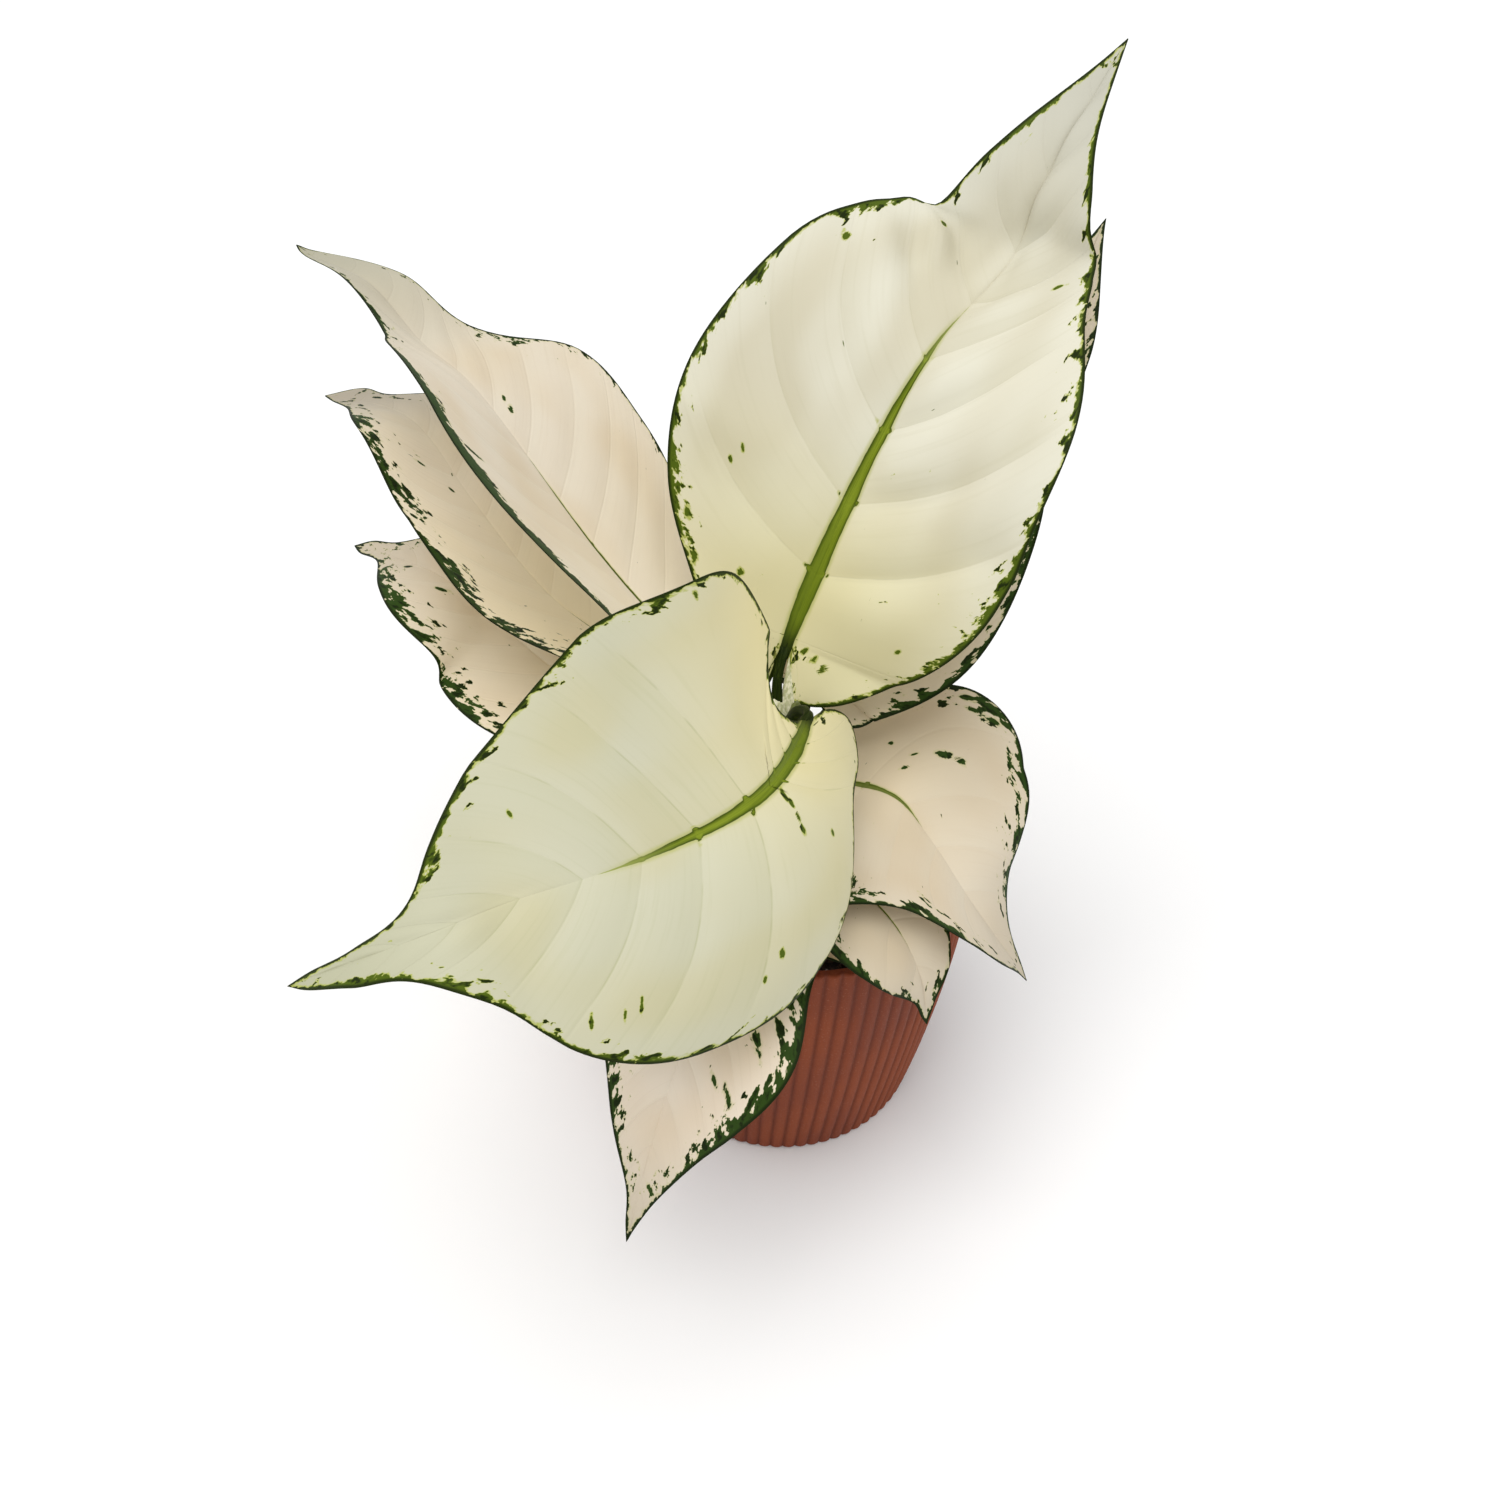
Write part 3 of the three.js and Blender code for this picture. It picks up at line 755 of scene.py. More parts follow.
def read_along(values, t):
    """A value at share t of the blade: a straight line through two given ones, or the parabola
    through three at 0, 1/2 and 1."""
    if len(values) == 2:
        return values[0] + (values[1] - values[0]) * t
    at_base = values[0] * (1 - t) * (1 - 2 * t)
    return at_base + 4 * values[1] * t * (1 - t) + values[2] * t * (2 * t - 1)


def spine_at(leaf, distance):
    """Position and direction at distances along the spine."""
    read = [np.interp(distance, leaf["distance"], leaf["points"][:, k]) for k in range(3)]
    turned = [np.interp(distance, leaf["distance"], leaf["directions"][:, k]) for k in range(3)]
    return np.stack(read, -1), unit(np.stack(turned, -1))


leaves = {name: grow_spine(form) for name, form in leaf_forms.items()}
print({name: round(float(leaf["length"])) for name, leaf in leaves.items()})

# %% [markdown]
# At every place along the blade there is a frame: where the midrib is, which way is to the right
# and which way is up. The section across the blade is an arc in that frame. It leaves the midrib
# at the fold angle and turns on by the curl angle, so the flat sheet bends without stretching, as
# a leaf does. Bend modifiers could do it one after the other, but not by a different angle at
# every place.

# %% A leaf's sheet in space
ripple_lag = 1.3


def blade_frame(leaf, along):
    """Midrib position, right and up at a distance along the blade. Behind the base the midrib's
    line runs straight back, to carry the lobes."""
    held = np.clip(along, 0, leaf["length"])
    position, direction = spine_at(leaf, held)
    position = position + direction * (along - held)[..., None]
    level = unit(np.cross(direction, [0, 0, 1]))
    up = np.cross(level, direction)
    bank = np.radians(read_along(leaf["bank"], held / leaf["length"]))[..., None]
    right = np.cos(bank) * level + np.sin(bank) * up
    return position, right, np.cos(bank) * up - np.sin(bank) * level


def blade_point(leaf, along, across):
    """A point of the sheet from its place in the flat leaf, in millimetres. Left is negative.

    With fold f and turn k per millimetre, a point at distance q from the midrib lies
    (sin(f + kq) - sin f)/k out from it and (cos f - cos(f + kq))/k above it."""
    position, right, up = blade_frame(leaf, along)
    t = np.clip(along / leaf["length"], 0, 1)
    on_right = across >= 0
    half_width = np.where(on_right, max(leaf["right"]), max(leaf["left"]))
    fold = np.radians(read_along(leaf["fold"], t))
    curl_right, curl_left = read_along(leaf["curl_right"], t), read_along(leaf["curl_left"], t)
    curl = np.where(on_right, curl_right, curl_left)
    turn = np.radians(np.where(np.abs(curl) < 0.06, 0.06, curl)) / half_width
    q = np.abs(across)
    out = (np.sin(fold + turn * q) - np.sin(fold)) / turn
    rise = (np.cos(fold) - np.cos(fold + turn * q)) / turn
    height, count, phase = leaf["wave"]
    lag = np.where(on_right, 0, ripple_lag)
    ripple = np.sin(2 * np.pi * count * t + np.radians(phase) + lag)
    rise = rise + height * ripple * (q / half_width) ** 2
    return position + right * (np.sign(across) * out)[..., None] + up * rise[..., None]


def blade_normal(leaf, along, across, probe=0.5):
    """The direction straight out of the sheet's upper face."""
    ahead = blade_point(leaf, along + probe, across) - blade_point(leaf, along - probe, across)
    aside = blade_point(leaf, along, across + probe) - blade_point(leaf, along, across - probe)
    return unit(np.cross(aside, ahead))


# %% [markdown]
# The flat leaf is gridded the way it grew. Rows run out from the midrib like side veins: they
# lean forward at once, and bend more and more towards the tip. Columns run from the base to the
# tip. A filled outline would be quicker to make, but on this grid relief and veins follow the
# grain of the leaf. The columns crowd together at the midrib and at the edge, where the green
# line is less than a millimetre wide.
#
# The outline is a smooth curve too: a few points for the lobe beside the stalk, as shares of its
# reach and of the first half-width, then the half-widths at the stations, then the tip.

# %% The flat leaf as a grid
heart_lobe = np.array([[0, 0], [0.7, 0.2], [1, 0.52], [0.55, 0.84]])
square_lobe = np.array([[0, 0], [0.85, 0.13], [1, 0.24], [0.62, 0.58]])
close_lobe = np.array([[0, 0], [0.85, 0.03], [1, 0.12], [0.62, 0.52]])
lobe_spans = len(heart_lobe)
outline_spans = len(stations) + lobe_spans
vein_sweep = 0.24
notch_lead = 2.0


def blade_outline(leaf, side, rows):
    """One side's edge, from the notch at the stalk round the lobe to the tip, as along and across."""
    widths, lobe = leaf[side], leaf["lobe"][0 if side == "left" else 1]
    shape = heart_lobe
    if "square_lobes" in leaf:
        shape = close_lobe if side == "left" else square_lobe
    base = shape * [-lobe, widths[0]]
    blade = np.stack([stations * leaf["length"], widths], -1)
    return smooth_path(np.vstack([base, blade, [[leaf["length"], 0]]]), rows)


# %% Where the side veins start


def row_starts(leaf, side, rows):
    """Where on the midrib each row starts. Along the blade it is the edge's station s less
    sweep sin(pi s), and the rows of the lobe fan out from just above the stalk. Where the base
    is cut back, all rows lead that cut, less and less so towards the tip."""
    lead = max(0, -notch_lead * min(leaf["lobe"]))
    station = np.clip(blade_outline(leaf, side, rows)[:, 0] / leaf["length"], 0, 1)
    swept = station - vein_sweep * np.sin(np.pi * station)
    first = stations[0] - vein_sweep * np.sin(np.pi * stations[0])
    on_lobe = (first * leaf["length"] + lead) * rows / lobe_spans
    on_blade = swept * leaf["length"] + lead * ((outline_spans - rows) / len(stations)) ** 2
    return np.where(rows < lobe_spans, on_lobe, on_blade)


def flat_half(leaf, side, rows, reach):
    """Flat places of one half blade on a grid of rows by reach, from 0 at the midrib to 1 at the
    edge: along = start + (edge - start) (0.55 reach + 0.45 reach^3), across = edge reach."""
    edge = blade_outline(leaf, side, rows)
    start = row_starts(leaf, side, rows)[:, None]
    along = start + (edge[:, :1] - start) * (0.55 * reach + 0.45 * reach**3)
    return along, edge[:, 1:] * reach


# %% The rows and the columns


def crowded(count, crowding=0.8):
    """Numbers from 0 to 1 that lie closer together at both ends: t - crowding sin(2 pi t)/(2 pi)."""
    t = np.linspace(0, 1, count)
    return t - crowding * np.sin(2 * np.pi * t) / (2 * np.pi)


base_rows = np.linspace(0.04, lobe_spans, 46)[:-1]
blade_rows = np.linspace(lobe_spans, outline_spans - 1, 92)[:-1]
tip_rows = np.linspace(outline_spans - 1, outline_spans - 0.03, 16)
rows = np.concatenate([base_rows, blade_rows, tip_rows])
reach = crowded(27)
print(f"blade grid: {len(rows)} rows by {2 * len(reach) - 1} columns")

# %% [markdown]
# ## What is drawn on each leaf
#
# The green of the edge isn't spread evenly. On the real plant it is a hairline along most of the edge,
# which swells here and there into a patch, with flecks about it. It could be painted on a texture by
# hand. A short list of such places for each leaf, judged one by one, does the same and stays sharp at any
# distance. The two young leaves at the top are greenish white with few, yellowish flecks. The older ones
# below are a pinkish cream, and heavily marked.

# %% What is drawn on a young leaf
# warm, cool: the two tones of the cream. shade: a darker cream, laid as painted shade just past each side
# vein, and also the colour of fine streaks and hairline veins. base, tip: its tones there. green, dark: a
# mark's rim and heart. halo: strength of the yellow-green about the marks. vein_gap: distance between
# side veins at the midrib, in mm. quilt: how far the blade swells between them, left and right, in mm.
# deep: how strongly shade and highlight are painted at each side vein, left and right. base_reach,
# base_shift: how far the base's tone reaches along, and its middle's shift to the right, in cm. line,
# flecks: width of the green edge line in mm and strength of the flecks, where nothing else is said. band:
# how far in flecks reach, in cm. strays: how many flecks stray over the blade. hairline: how plain the
# veins are. rib: half-width and length of the green midrib, in cm. marks: side, station, spread as a
# share of the blade, extra line in mm, extra flecks. spots: single flecks in cm: along, across,
# half-length, half-width. spot_turn: their slant, in degrees. pucker: extra creases, with their place,
# spread and height in mm.
young = {
    "warm": (0.61, 0.57, 0.43),
    "cool": (0.71, 0.69, 0.57),
    "shade": (0.46, 0.43, 0.27),
    "base": (0.69, 0.64, 0.36),
    "tip": (0.52, 0.51, 0.43),
    "green": (0.075, 0.115, 0.006),
    "dark": (0.012, 0.021, 0.001),
    "rib_green": (0.21, 0.27, 0.018),
    "halo": 0.9,
    "vein_gap": 27,
    "quilt": [1.4, 3.5],
    "deep": [0.2, 0.42],
    "base_reach": 9,
    "base_shift": 0,
    "line": 0.95,
    "flecks": 0.6,
    "band": 1.0,
    "strays": 0.2,
    "hairline": 0.2,
    "rib": [0.36, 13.4],
    "marks": [],
    "spots": [],
    "spot_turn": 35,
    "pucker": None,
}

# %% What is different on an old leaf
old = {
    **young,
    "warm": (0.63, 0.52, 0.37),
    "cool": (0.68, 0.60, 0.47),
    "shade": (0.54, 0.43, 0.29),
    "base": (0.66, 0.56, 0.39),
    "tip": (0.54, 0.47, 0.36),
    "green": (0.024, 0.054, 0.006),
    "dark": (0.008, 0.016, 0.001),
    "rib_green": (0.10, 0.12, 0.018),
    "halo": 0.35,
    "vein_gap": 19,
    "quilt": [0.6, 0.6],
    "deep": [0.2, 0.2],
    "line": 0.7,
    "flecks": 0.85,
    "band": 1.1,
    "strays": 0.4,
    "hairline": 0.06,
    "rib": [0.07, 5.0],
}
looks = {}

# %% [markdown]
# The highest leaf keeps a thin edge with a few patches, and the blade is creased at its left
# shoulder, where it was pressed while it was rolled up. On the second one the flecks line up
# along the side veins, nearly straight out from the midrib.

# %% What is drawn on the two young leaves
looks["leaf_upper_right"] = {
    **young,
    "pucker": [(147, -21), 26, 4.0],
    "marks": [
        ["left", 0.18, 0.07, 1.8, 1.0],
        ["left", 0.33, 0.05, 0.6, 0.4],
        ["left", 0.43, 0.04, 0.8, 0.8],
        ["left", 0.60, 0.05, 2.6, 0.8],
        ["left", 0.86, 0.05, 1.0, 0.3],
        ["right", 0.82, 0.06, 0.8, 0.2],
        ["right", 0.66, 0.06, 1.6, 0.6],
        ["right", 0.50, 0.04, 0.8, 0.9],
        ["right", 0.25, 0.08, 1.8, 0.9],
        ["right", 0.08, 0.12, 1.2, 0.4],
    ],
    "spots": [
        [5.1, -4.3, 0.13, 0.06],
        [5.6, -4.1, 0.16, 0.06],
        [1.8, -2.5, 0.13, 0.11],
        [3.0, -5.0, 0.22, 0.11],
        [1.7, -4.2, 0.20, 0.11],
        [12.4, -4.7, 0.16, 0.10],
        [15.4, -2.6, 0.16, 0.09],
        [15.0, 2.6, 0.22, 0.05],
        [1.7, 3.9, 0.14, 0.07],
        [0.0, 0.7, 0.15, 0.08],
        [-0.2, 1.1, 0.15, 0.10],
        [-0.4, 1.5, 0.16, 0.12],
    ],
}
looks["leaf_front_left"] = {
    **young,
    "warm": (0.57, 0.54, 0.35),
    "cool": (0.58, 0.57, 0.42),
    "shade": (0.36, 0.38, 0.17),
    "base": (0.88, 0.78, 0.43),
    "base_shift": 3.5,
    "tip": (0.45, 0.45, 0.31),
    "strays": -0.5,
    "flecks": 0.45,
    "vein_gap": 19,
    "quilt": [0.8, 0.7],
    "deep": [0.14, 0.14],
    "hairline": 0.35,
    "rib": [0.32, 11],
    "marks": [
        ["right", 0.03, 0.05, 0.8, 0.3],
        ["right", 0.28, 0.04, 0.3, 0.5],
        ["right", 0.48, 0.05, 0.3, 0.5],
        ["right", 0.69, 0.06, 1.0, 0.8],
        ["left", 0.85, 0.05, 1.4, 0.3],
        ["left", 0.72, 0.05, 1.2, 0.7],
        ["left", 0.52, 0.10, 0.5, 0.7],
        ["left", 0.30, 0.04, 0.1, 0.5],
    ],
    "spots": [
        [4.4, -0.5, 0.20, 0.07],
        [4.4, -0.9, 0.14, 0.07],
        [4.5, -1.3, 0.14, 0.06],
        [4.6, -1.7, 0.16, 0.07],
        [3.4, -2.7, 0.10, 0.08],
        [5.4, 6.8, 0.16, 0.06],
        [12.9, 2.4, 0.12, 0.05],
        [10.8, -4.0, 0.20, 0.04],
        [11.3, -4.1, 0.14, 0.04],
        [12.3, -4.0, 0.22, 0.05],
        [6.8, -4.6, 0.14, 0.08],
        [7.5, -5.1, 0.12, 0.05],
    ],
    "spot_turn": 75,
}

# %% [markdown]
# The three leaves on the left turn their left edges to the viewer. The highest has a broad dark band
# there, and the other two a belt of flecks. Their base tones, and the creams of the upper two, are
# painted lighter as painted light against the shade of the leaves above.

# %% What is drawn on the three leaves on the left
looks["leaf_upper_left"] = {
    **old,
    # Lighter creams and a base tone that reaches further: painted light against the shade of the leaves
    # above.
    "warm": (0.70, 0.59, 0.43),
    "cool": (0.75, 0.67, 0.54),
    "base": (0.86, 0.76, 0.58),
    "base_reach": 13,
    "tip": (0.43, 0.41, 0.31),
    "line": 0.5,
    "flecks": 0.5,
    "strays": 0.3,
    "rib": [0.13, 11.5],
    "marks": [
        ["left", 0.60, 0.05, 4.5, 0.8],
        ["left", 0.50, 0.06, 6.0, 0.8],
        ["left", 0.38, 0.07, 4.5, 0.5],
        ["left", 0.22, 0.10, 2.6, 0.0],
        ["left", 0.78, 0.06, 1.8, 0.8],
        ["right", 0.68, 0.05, 0.5, 0.8],
        ["right", 0.55, 0.06, 0.3, 0.6],
    ],
    "spots": [[13.6, 0.9, 0.14, 0.06], [13.1, 0.8, 0.16, 0.09], [11.8, -4.3, 0.35, 0.08]],
}
looks["leaf_left"] = {
    **old,
    # Lighter creams and a base tone that reaches further: painted light against the shade of the leaves
    # above.
    "warm": (0.84, 0.75, 0.57),
    "cool": (0.84, 0.76, 0.61),
    "base": (0.88, 0.79, 0.53),
    "base_reach": 12,
    "tip": (0.41, 0.36, 0.28),
    "band": 1.5,
    "marks": [
        ["left", 0.76, 0.05, 1.8, 1.1],
        ["left", 0.62, 0.05, 1.2, 1.0],
        ["left", 0.44, 0.07, 3.4, 1.1],
        ["left", 0.28, 0.08, 2.0, 1.2],
    ],
    "spots": [[12.2, -1.3, 0.20, 0.05], [10.9, -0.7, 0.12, 0.05]],
}
looks["leaf_lower_left"] = {
    **old,
    # A lighter base tone that reaches further: painted light against the shade of the leaves above.
    "base": (0.88, 0.78, 0.60),
    "base_reach": 13,
    "band": 1.6,
    "line": 0.8,
    "rib": [0.10, 4.0],
    "marks": [["left", 0.72, 0.10, 1.0, 1.1], ["left", 0.45, 0.10, 1.2, 1.0]],
    "spots": [[13.5, -0.3, 0.18, 0.08], [11.5, -0.6, 0.22, 0.08]],
}

# %% [markdown]
# The leaves on the right and in front are the oldest. Their edge line is wide, and a few larger
# spots stand well inside the blade.

# %% What is drawn on the leaves on the right and in front
looks["leaf_back_right"] = {
    **old,
    "line": 1.0,
    "marks": [["right", 0.36, 0.08, 1.2, 0.8], ["right", 0.14, 0.06, 1.2, 0.8]],
}
looks["leaf_right"] = {
    **old,
    "line": 1.1,
    "band": 1.5,
    "rib": [0.17, 4.8],
    "rib_green": (0.19, 0.21, 0.055),
    "marks": [
        ["left", 0.33, 0.05, 0.2, 0.7],
        ["left", 0.45, 0.06, 1.8, 0.7],
        ["left", 0.60, 0.05, 0.8, 1.1],
        ["left", 0.74, 0.06, 2.0, 0.4],
        ["right", 0.46, 0.07, 1.8, 1.1],
        ["right", 0.68, 0.06, 1.6, 0.6],
    ],
    "spots": [
        [3.5, -2.6, 0.20, 0.10],
        [3.9, -2.9, 0.16, 0.10],
        [2.9, -1.9, 0.14, 0.06],
        [2.0, -2.0, 0.08, 0.07],
        [2.9, -1.2, 0.16, 0.06],
        [3.1, -5.2, 0.20, 0.12],
        [3.3, -4.9, 0.18, 0.07],
        [3.7, -5.2, 0.24, 0.10],
    ],
    "spot_turn": 55,
}
looks["leaf_rim_right"] = {
    **old,
    "line": 1.0,
    "marks": [["right", 0.45, 0.15, 2.6, 0.8], ["left", 0.65, 0.10, 0.8, 0.6]],
}
looks["leaf_front"] = {
    **old,
    # Lighter creams: painted light against the shade of the leaf above.
    "warm": (0.76, 0.63, 0.47),
    "cool": (0.80, 0.70, 0.57),
    "line": 1.1,
    "band": 1.3,
    "marks": [
        ["left", 0.60, 0.15, 1.9, 0.9],
        ["left", 0.42, 0.08, 1.0, 0.8],
        ["right", 0.65, 0.12, 0.9, 0.6],
    ],
    "spots": [
        [6.6, -2.4, 0.32, 0.12],
        [6.0, -2.9, 0.25, 0.10],
        [8.3, -2.1, 0.30, 0.10],
        [8.1, -1.5, 0.20, 0.08],
        [13.1, -0.4, 0.22, 0.09],
    ],
}
looks["leaf_rim_small"] = {**old, "flecks": 0.4}
print({name: (len(look["marks"]), len(look["spots"])) for name, look in looks.items()})

# %% [markdown]
# A side vein lies in a narrow valley of the upper face, and the blade between two veins swells
# up like a quilt, most of all half-way out to the edge. A bump in the finish could fake it, but
# real relief in the mesh looks right from a low side too and stays in the exported shape. Veins
# are counted along the midrib, and over the lobe by the rows that fan out there.

# %% Veins and the relief of the upper face
blade_half_thickness = 0.3
edge_half_thickness = 0.1
channel_depth = 0.3
unrest_height = 0.5


def vein_count(leaf, look, side, rows):
    """How many side veins have left the midrib before each row, as a running number."""
    fanned = 0.5 * np.minimum(rows, lobe_spans)
    return fanned + row_starts(leaf, side, rows) / look["vein_gap"]


def blade_relief(leaf, look, vein, reach_of, along, across):
    """How far the sheet is pushed up, in millimetres.

    Quilting is |sin(pi vein)|^0.8, fading to nothing at the midrib, the edge, the base and the
    tip. The midrib's channel is exp(-(distance/width)^2)."""
    t = along / leaf["length"]
    fullness = np.sin(np.pi * np.clip(reach_of, 0, 1) ** 0.8) * ease(0, 0.14, t) * ease(1, 0.75, t)
    size = np.where(across > 0, look["quilt"][1], look["quilt"][0])
    quilt = size * fullness * np.abs(np.sin(np.pi * vein)) ** 0.8
    bell = np.exp(-((across / (8 * look["rib"][0])) ** 2))
    channel = channel_depth * bell * ease(0.6, 0.3, t)
    unrest = unrest_height * lumps(along + 300, across + 300, 31, 4)
    return quilt - channel + unrest * ease(0, 0.2, reach_of) * ease(0, 0.2, t)


def puckers(along, across, at, span, height):
    """Extra creases about one place of the flat leaf, fading with the distance d as exp(-d^2),
    and to nothing at the midrib."""
    away = np.hypot(along - at[0], across - at[1]) / span
    creases = lumps(along + 0.7 * across, across, 13, 9) * np.exp(-(away**2))
    return height * creases * ease(0, 8, np.abs(across))


# %% [markdown]
# The stalk is round and slightly channelled on its upper side, wider where it clasps the cane, and
# runs on under the blade as the raised back of the midrib. It could be two pieces, but on the plant
# it is one, so it is one ring carried along the whole spine.

# %% The stalk and the back of the midrib
stalk_foot = 3.2
stalk_neck = 1.8
stalk_taper = 2 / 3
rib_end = 0.5
rib_reach = 0.72
rib_sink = 1.15
clasp_swell = 0.55
stalk_channel = 0.45
stalk_sides = 20


def stalk_frame(leaf, distance):
    """Middle, right and up along stalk and rib. Along the stalk the blade's right is carried
    back, less its part along the spine."""
    middle, direction = spine_at(leaf, distance)
    base_right = blade_frame(leaf, np.array([0.0]))[1]
    carried = unit(base_right - np.sum(base_right * direction, -1, keepdims=True) * direction)
    blade_right = blade_frame(leaf, np.maximum(distance, 0))[1]
    right = np.where(distance[:, None] > 0, blade_right, carried)
    return middle, right, np.cross(right, direction)


def stalk_rings(leaf):
    """Rings from the cane to where the rib fades out under the blade, and how far along each is.

    The radius falls evenly from foot to neck along the first part of the stalk, and from neck to
    end along the rib."""
    start, finish = leaf["distance"][0], rib_reach * leaf["length"]
    on_stalk, on_rib = start * np.linspace(1, 0, 26)[:-1], finish * np.linspace(0.01, 1, 44)
    distance = np.concatenate([on_stalk, on_rib])
    middle, right, up = stalk_frame(leaf, distance)
    t = distance / np.where(distance < 0, -start, finish)
    stalk_radius = stalk_foot + (stalk_neck - stalk_foot) * np.clip((1 + t) / stalk_taper, 0, 1)
    rib_radius = rib_end + (stalk_neck - rib_end) * (1 - t)
    radius = np.where(distance < 0, stalk_radius, rib_radius)[:, None]
    turn = -np.linspace(0, 2 * np.pi, stalk_sides, endpoint=False)
    clasp = 1 + clasp_swell * (1 - ease(-1, -0.45, t))[:, None]
    channel = stalk_channel * np.exp(-(((turn + 1.5 * np.pi) / 0.5) ** 2)) * (t < 0)[:, None]
    sunk = rib_sink * ease(-0.12, 0.02, t)[:, None]
    outward = radius * np.cos(turn) * clasp
    upward = radius * (np.sin(turn) - channel - sunk)
    rings = middle[:, None] + right[:, None] * outward[..., None] + up[:, None] * upward[..., None]
    return rings, distance


# %% [markdown]
# A blade is thin but not a film: its two faces lie half a thickness above and below the sheet and
# come together at the edge. A Solidify modifier could part them, but with one thickness
# everywhere. Stitching the rim shut makes the blade a closed shell. Each corner also keeps its
# place in the flat leaf, so that colour can follow the leaf.

# %% The flat grid of a whole blade


def marks_along(look, side, station):
    """Width of the edge line in mm and strength of the flecks at stations along one side: the
    leaf's own, plus a bell exp(-((station - at)/spread)^2) for each of its marks."""
    line, flecks = np.full(len(station), look["line"]), np.full(len(station), look["flecks"])
    for mark_side, at, spread, extra_line, extra_flecks in look["marks"]:
        if mark_side == side:
            bell = np.exp(-(((station - at) / spread) ** 2))
            line, flecks = line + extra_line * bell, flecks + extra_flecks * bell
    return line, flecks


def half_blade(leaf, look, side):
    """Values on one half's grid: flat place, reach, vein count, edge line and flecks."""
    sign = -1 if side == "left" else 1
    along, across = flat_half(leaf, side, rows, reach)
    edge = blade_outline(leaf, side, rows)
    line, flecks = marks_along(look, side, edge[:, 0] / leaf["length"])
    by_row = [vein_count(leaf, look, side, rows), line, flecks]
    spread = [np.broadcast_to(values[:, None], along.shape) for values in by_row]
    return [along, across * sign, np.broadcast_to(reach, along.shape), *spread]


def nearest_edge(leaf, along, across):
    """How far flat places are from the edge, and how far the nearest point of the edge is from
    the notch, walked along the edge."""
    dense = np.linspace(0, outline_spans, 600)
    sides = [blade_outline(leaf, "left", dense) * [1, -1], blade_outline(leaf, "right", dense)]
    steps = [np.linalg.norm(np.diff(side, axis=0), axis=1) for side in sides]
    walked = np.concatenate([np.append(0, np.cumsum(step)) for step in steps])
    places = np.stack([along, across], -1).reshape(-1, 1, 2)
    away = np.linalg.norm(places - np.vstack(sides), axis=-1)
    return away.min(-1).reshape(along.shape), walked[away.argmin(-1)].reshape(along.shape)


def whole_blade(leaf, look):
    """The two halves side by side as one grid, with each corner's place relative to the edge."""
    left, right = half_blade(leaf, look, "left"), half_blade(leaf, look, "right")
    names = ["along", "across", "reach", "vein", "line", "flecks"]
    grid = {n: np.hstack([a[:, :0:-1], b]) for n, a, b in zip(names, left, right)}
    away, grid["walked"] = nearest_edge(leaf, grid["along"], grid["across"])
    grid["from_edge"] = np.where(grid["reach"] == 1, 0, away)
    return grid


# %% The closed shell of a blade


def blade_shell(leaf, grid, lift):
    """Corners and faces of the closed blade, pushed up by lift."""
    along, across = grid["along"], grid["across"]
    normal = blade_normal(leaf, along, across)
    middle = blade_point(leaf, along, across) + normal * lift[..., None]
    swell = (blade_half_thickness - edge_half_thickness) * ease(0, 3, grid["from_edge"])
    half = (edge_half_thickness + swell)[..., None]
    upper_face, lower_face = middle + normal * half, middle - normal * half
    points = np.vstack([upper_face.reshape(-1, 3), lower_face.reshape(-1, 3)])
    count = along.size
    corner = np.arange(count).reshape(along.shape)
    rim = np.concatenate([corner[0, :-1], corner[:-1, -1], corner[-1, :0:-1], corner[:0:-1, 0]])
    onward = np.roll(rim, -1)
    stitches = np.stack([rim, rim + count, onward + count, onward], -1)
    upper = sheet_faces(*along.shape)
    lower = sheet_faces(*along.shape, count)[:, ::-1]
    return points, np.vstack([upper, lower, stitches]).tolist()


# %% [markdown]
# Colour has to follow the leaf and not the space round it. Unwrapping the mesh would give it a map
# with seams, but the flat leaf is a map already, so its places are simply stored. A second map
# counts veins and a third runs along the edge, for what follows the veins or the edge.

# %% The maps of a leaf
fleck_angle = np.radians(22)


def give_map(piece, name, places):
    """Stores a flat place for each corner as a UV map."""
    corner_of = np.zeros(len(piece.data.loops), int)
    piece.data.loops.foreach_get("vertex_index", corner_of)
    layer = piece.data.uv_layers.new(name=name)
    layer.uv.foreach_set("vector", places[corner_of].astype(np.float32).ravel())


def leaf_maps(grid, rings, distance):
    """The maps of a leaf in centimetres, blade first and stalk after it: flat is along and
    across, grain is vein count and across, and fleck is turned so that its first axis runs
    along the veins where they meet the edge."""
    flat = np.stack([grid["along"], grid["across"]], -1).reshape(-1, 2) / 10
    grain = np.stack([grid["vein"] * 10, grid["across"]], -1).reshape(-1, 2) / 10
    walked, inward = grid["walked"].ravel() / 10, grid["from_edge"].ravel() / 10
    with_vein = walked * np.cos(fleck_angle) - inward * np.sin(fleck_angle)
    over_vein = walked * np.sin(fleck_angle) + inward * np.cos(fleck_angle)
    fleck = np.stack([with_vein, over_vein], -1)
    round_stalk = np.broadcast_to(np.arange(stalk_sides) * 0.07, rings.shape[:2])
    along_stalk = np.broadcast_to(distance[:, None] / 10, rings.shape[:2])
    stalk = np.stack([along_stalk, round_stalk], -1)
    stalk = np.vstack([stalk.reshape(-1, 2), stalk[0, 0], stalk[-1, 0]])
    maps = {"flat": flat, "grain": grain, "fleck": fleck}
    return {name: np.vstack([values, values, stalk]) for name, values in maps.items()}


# %% Build the leaves


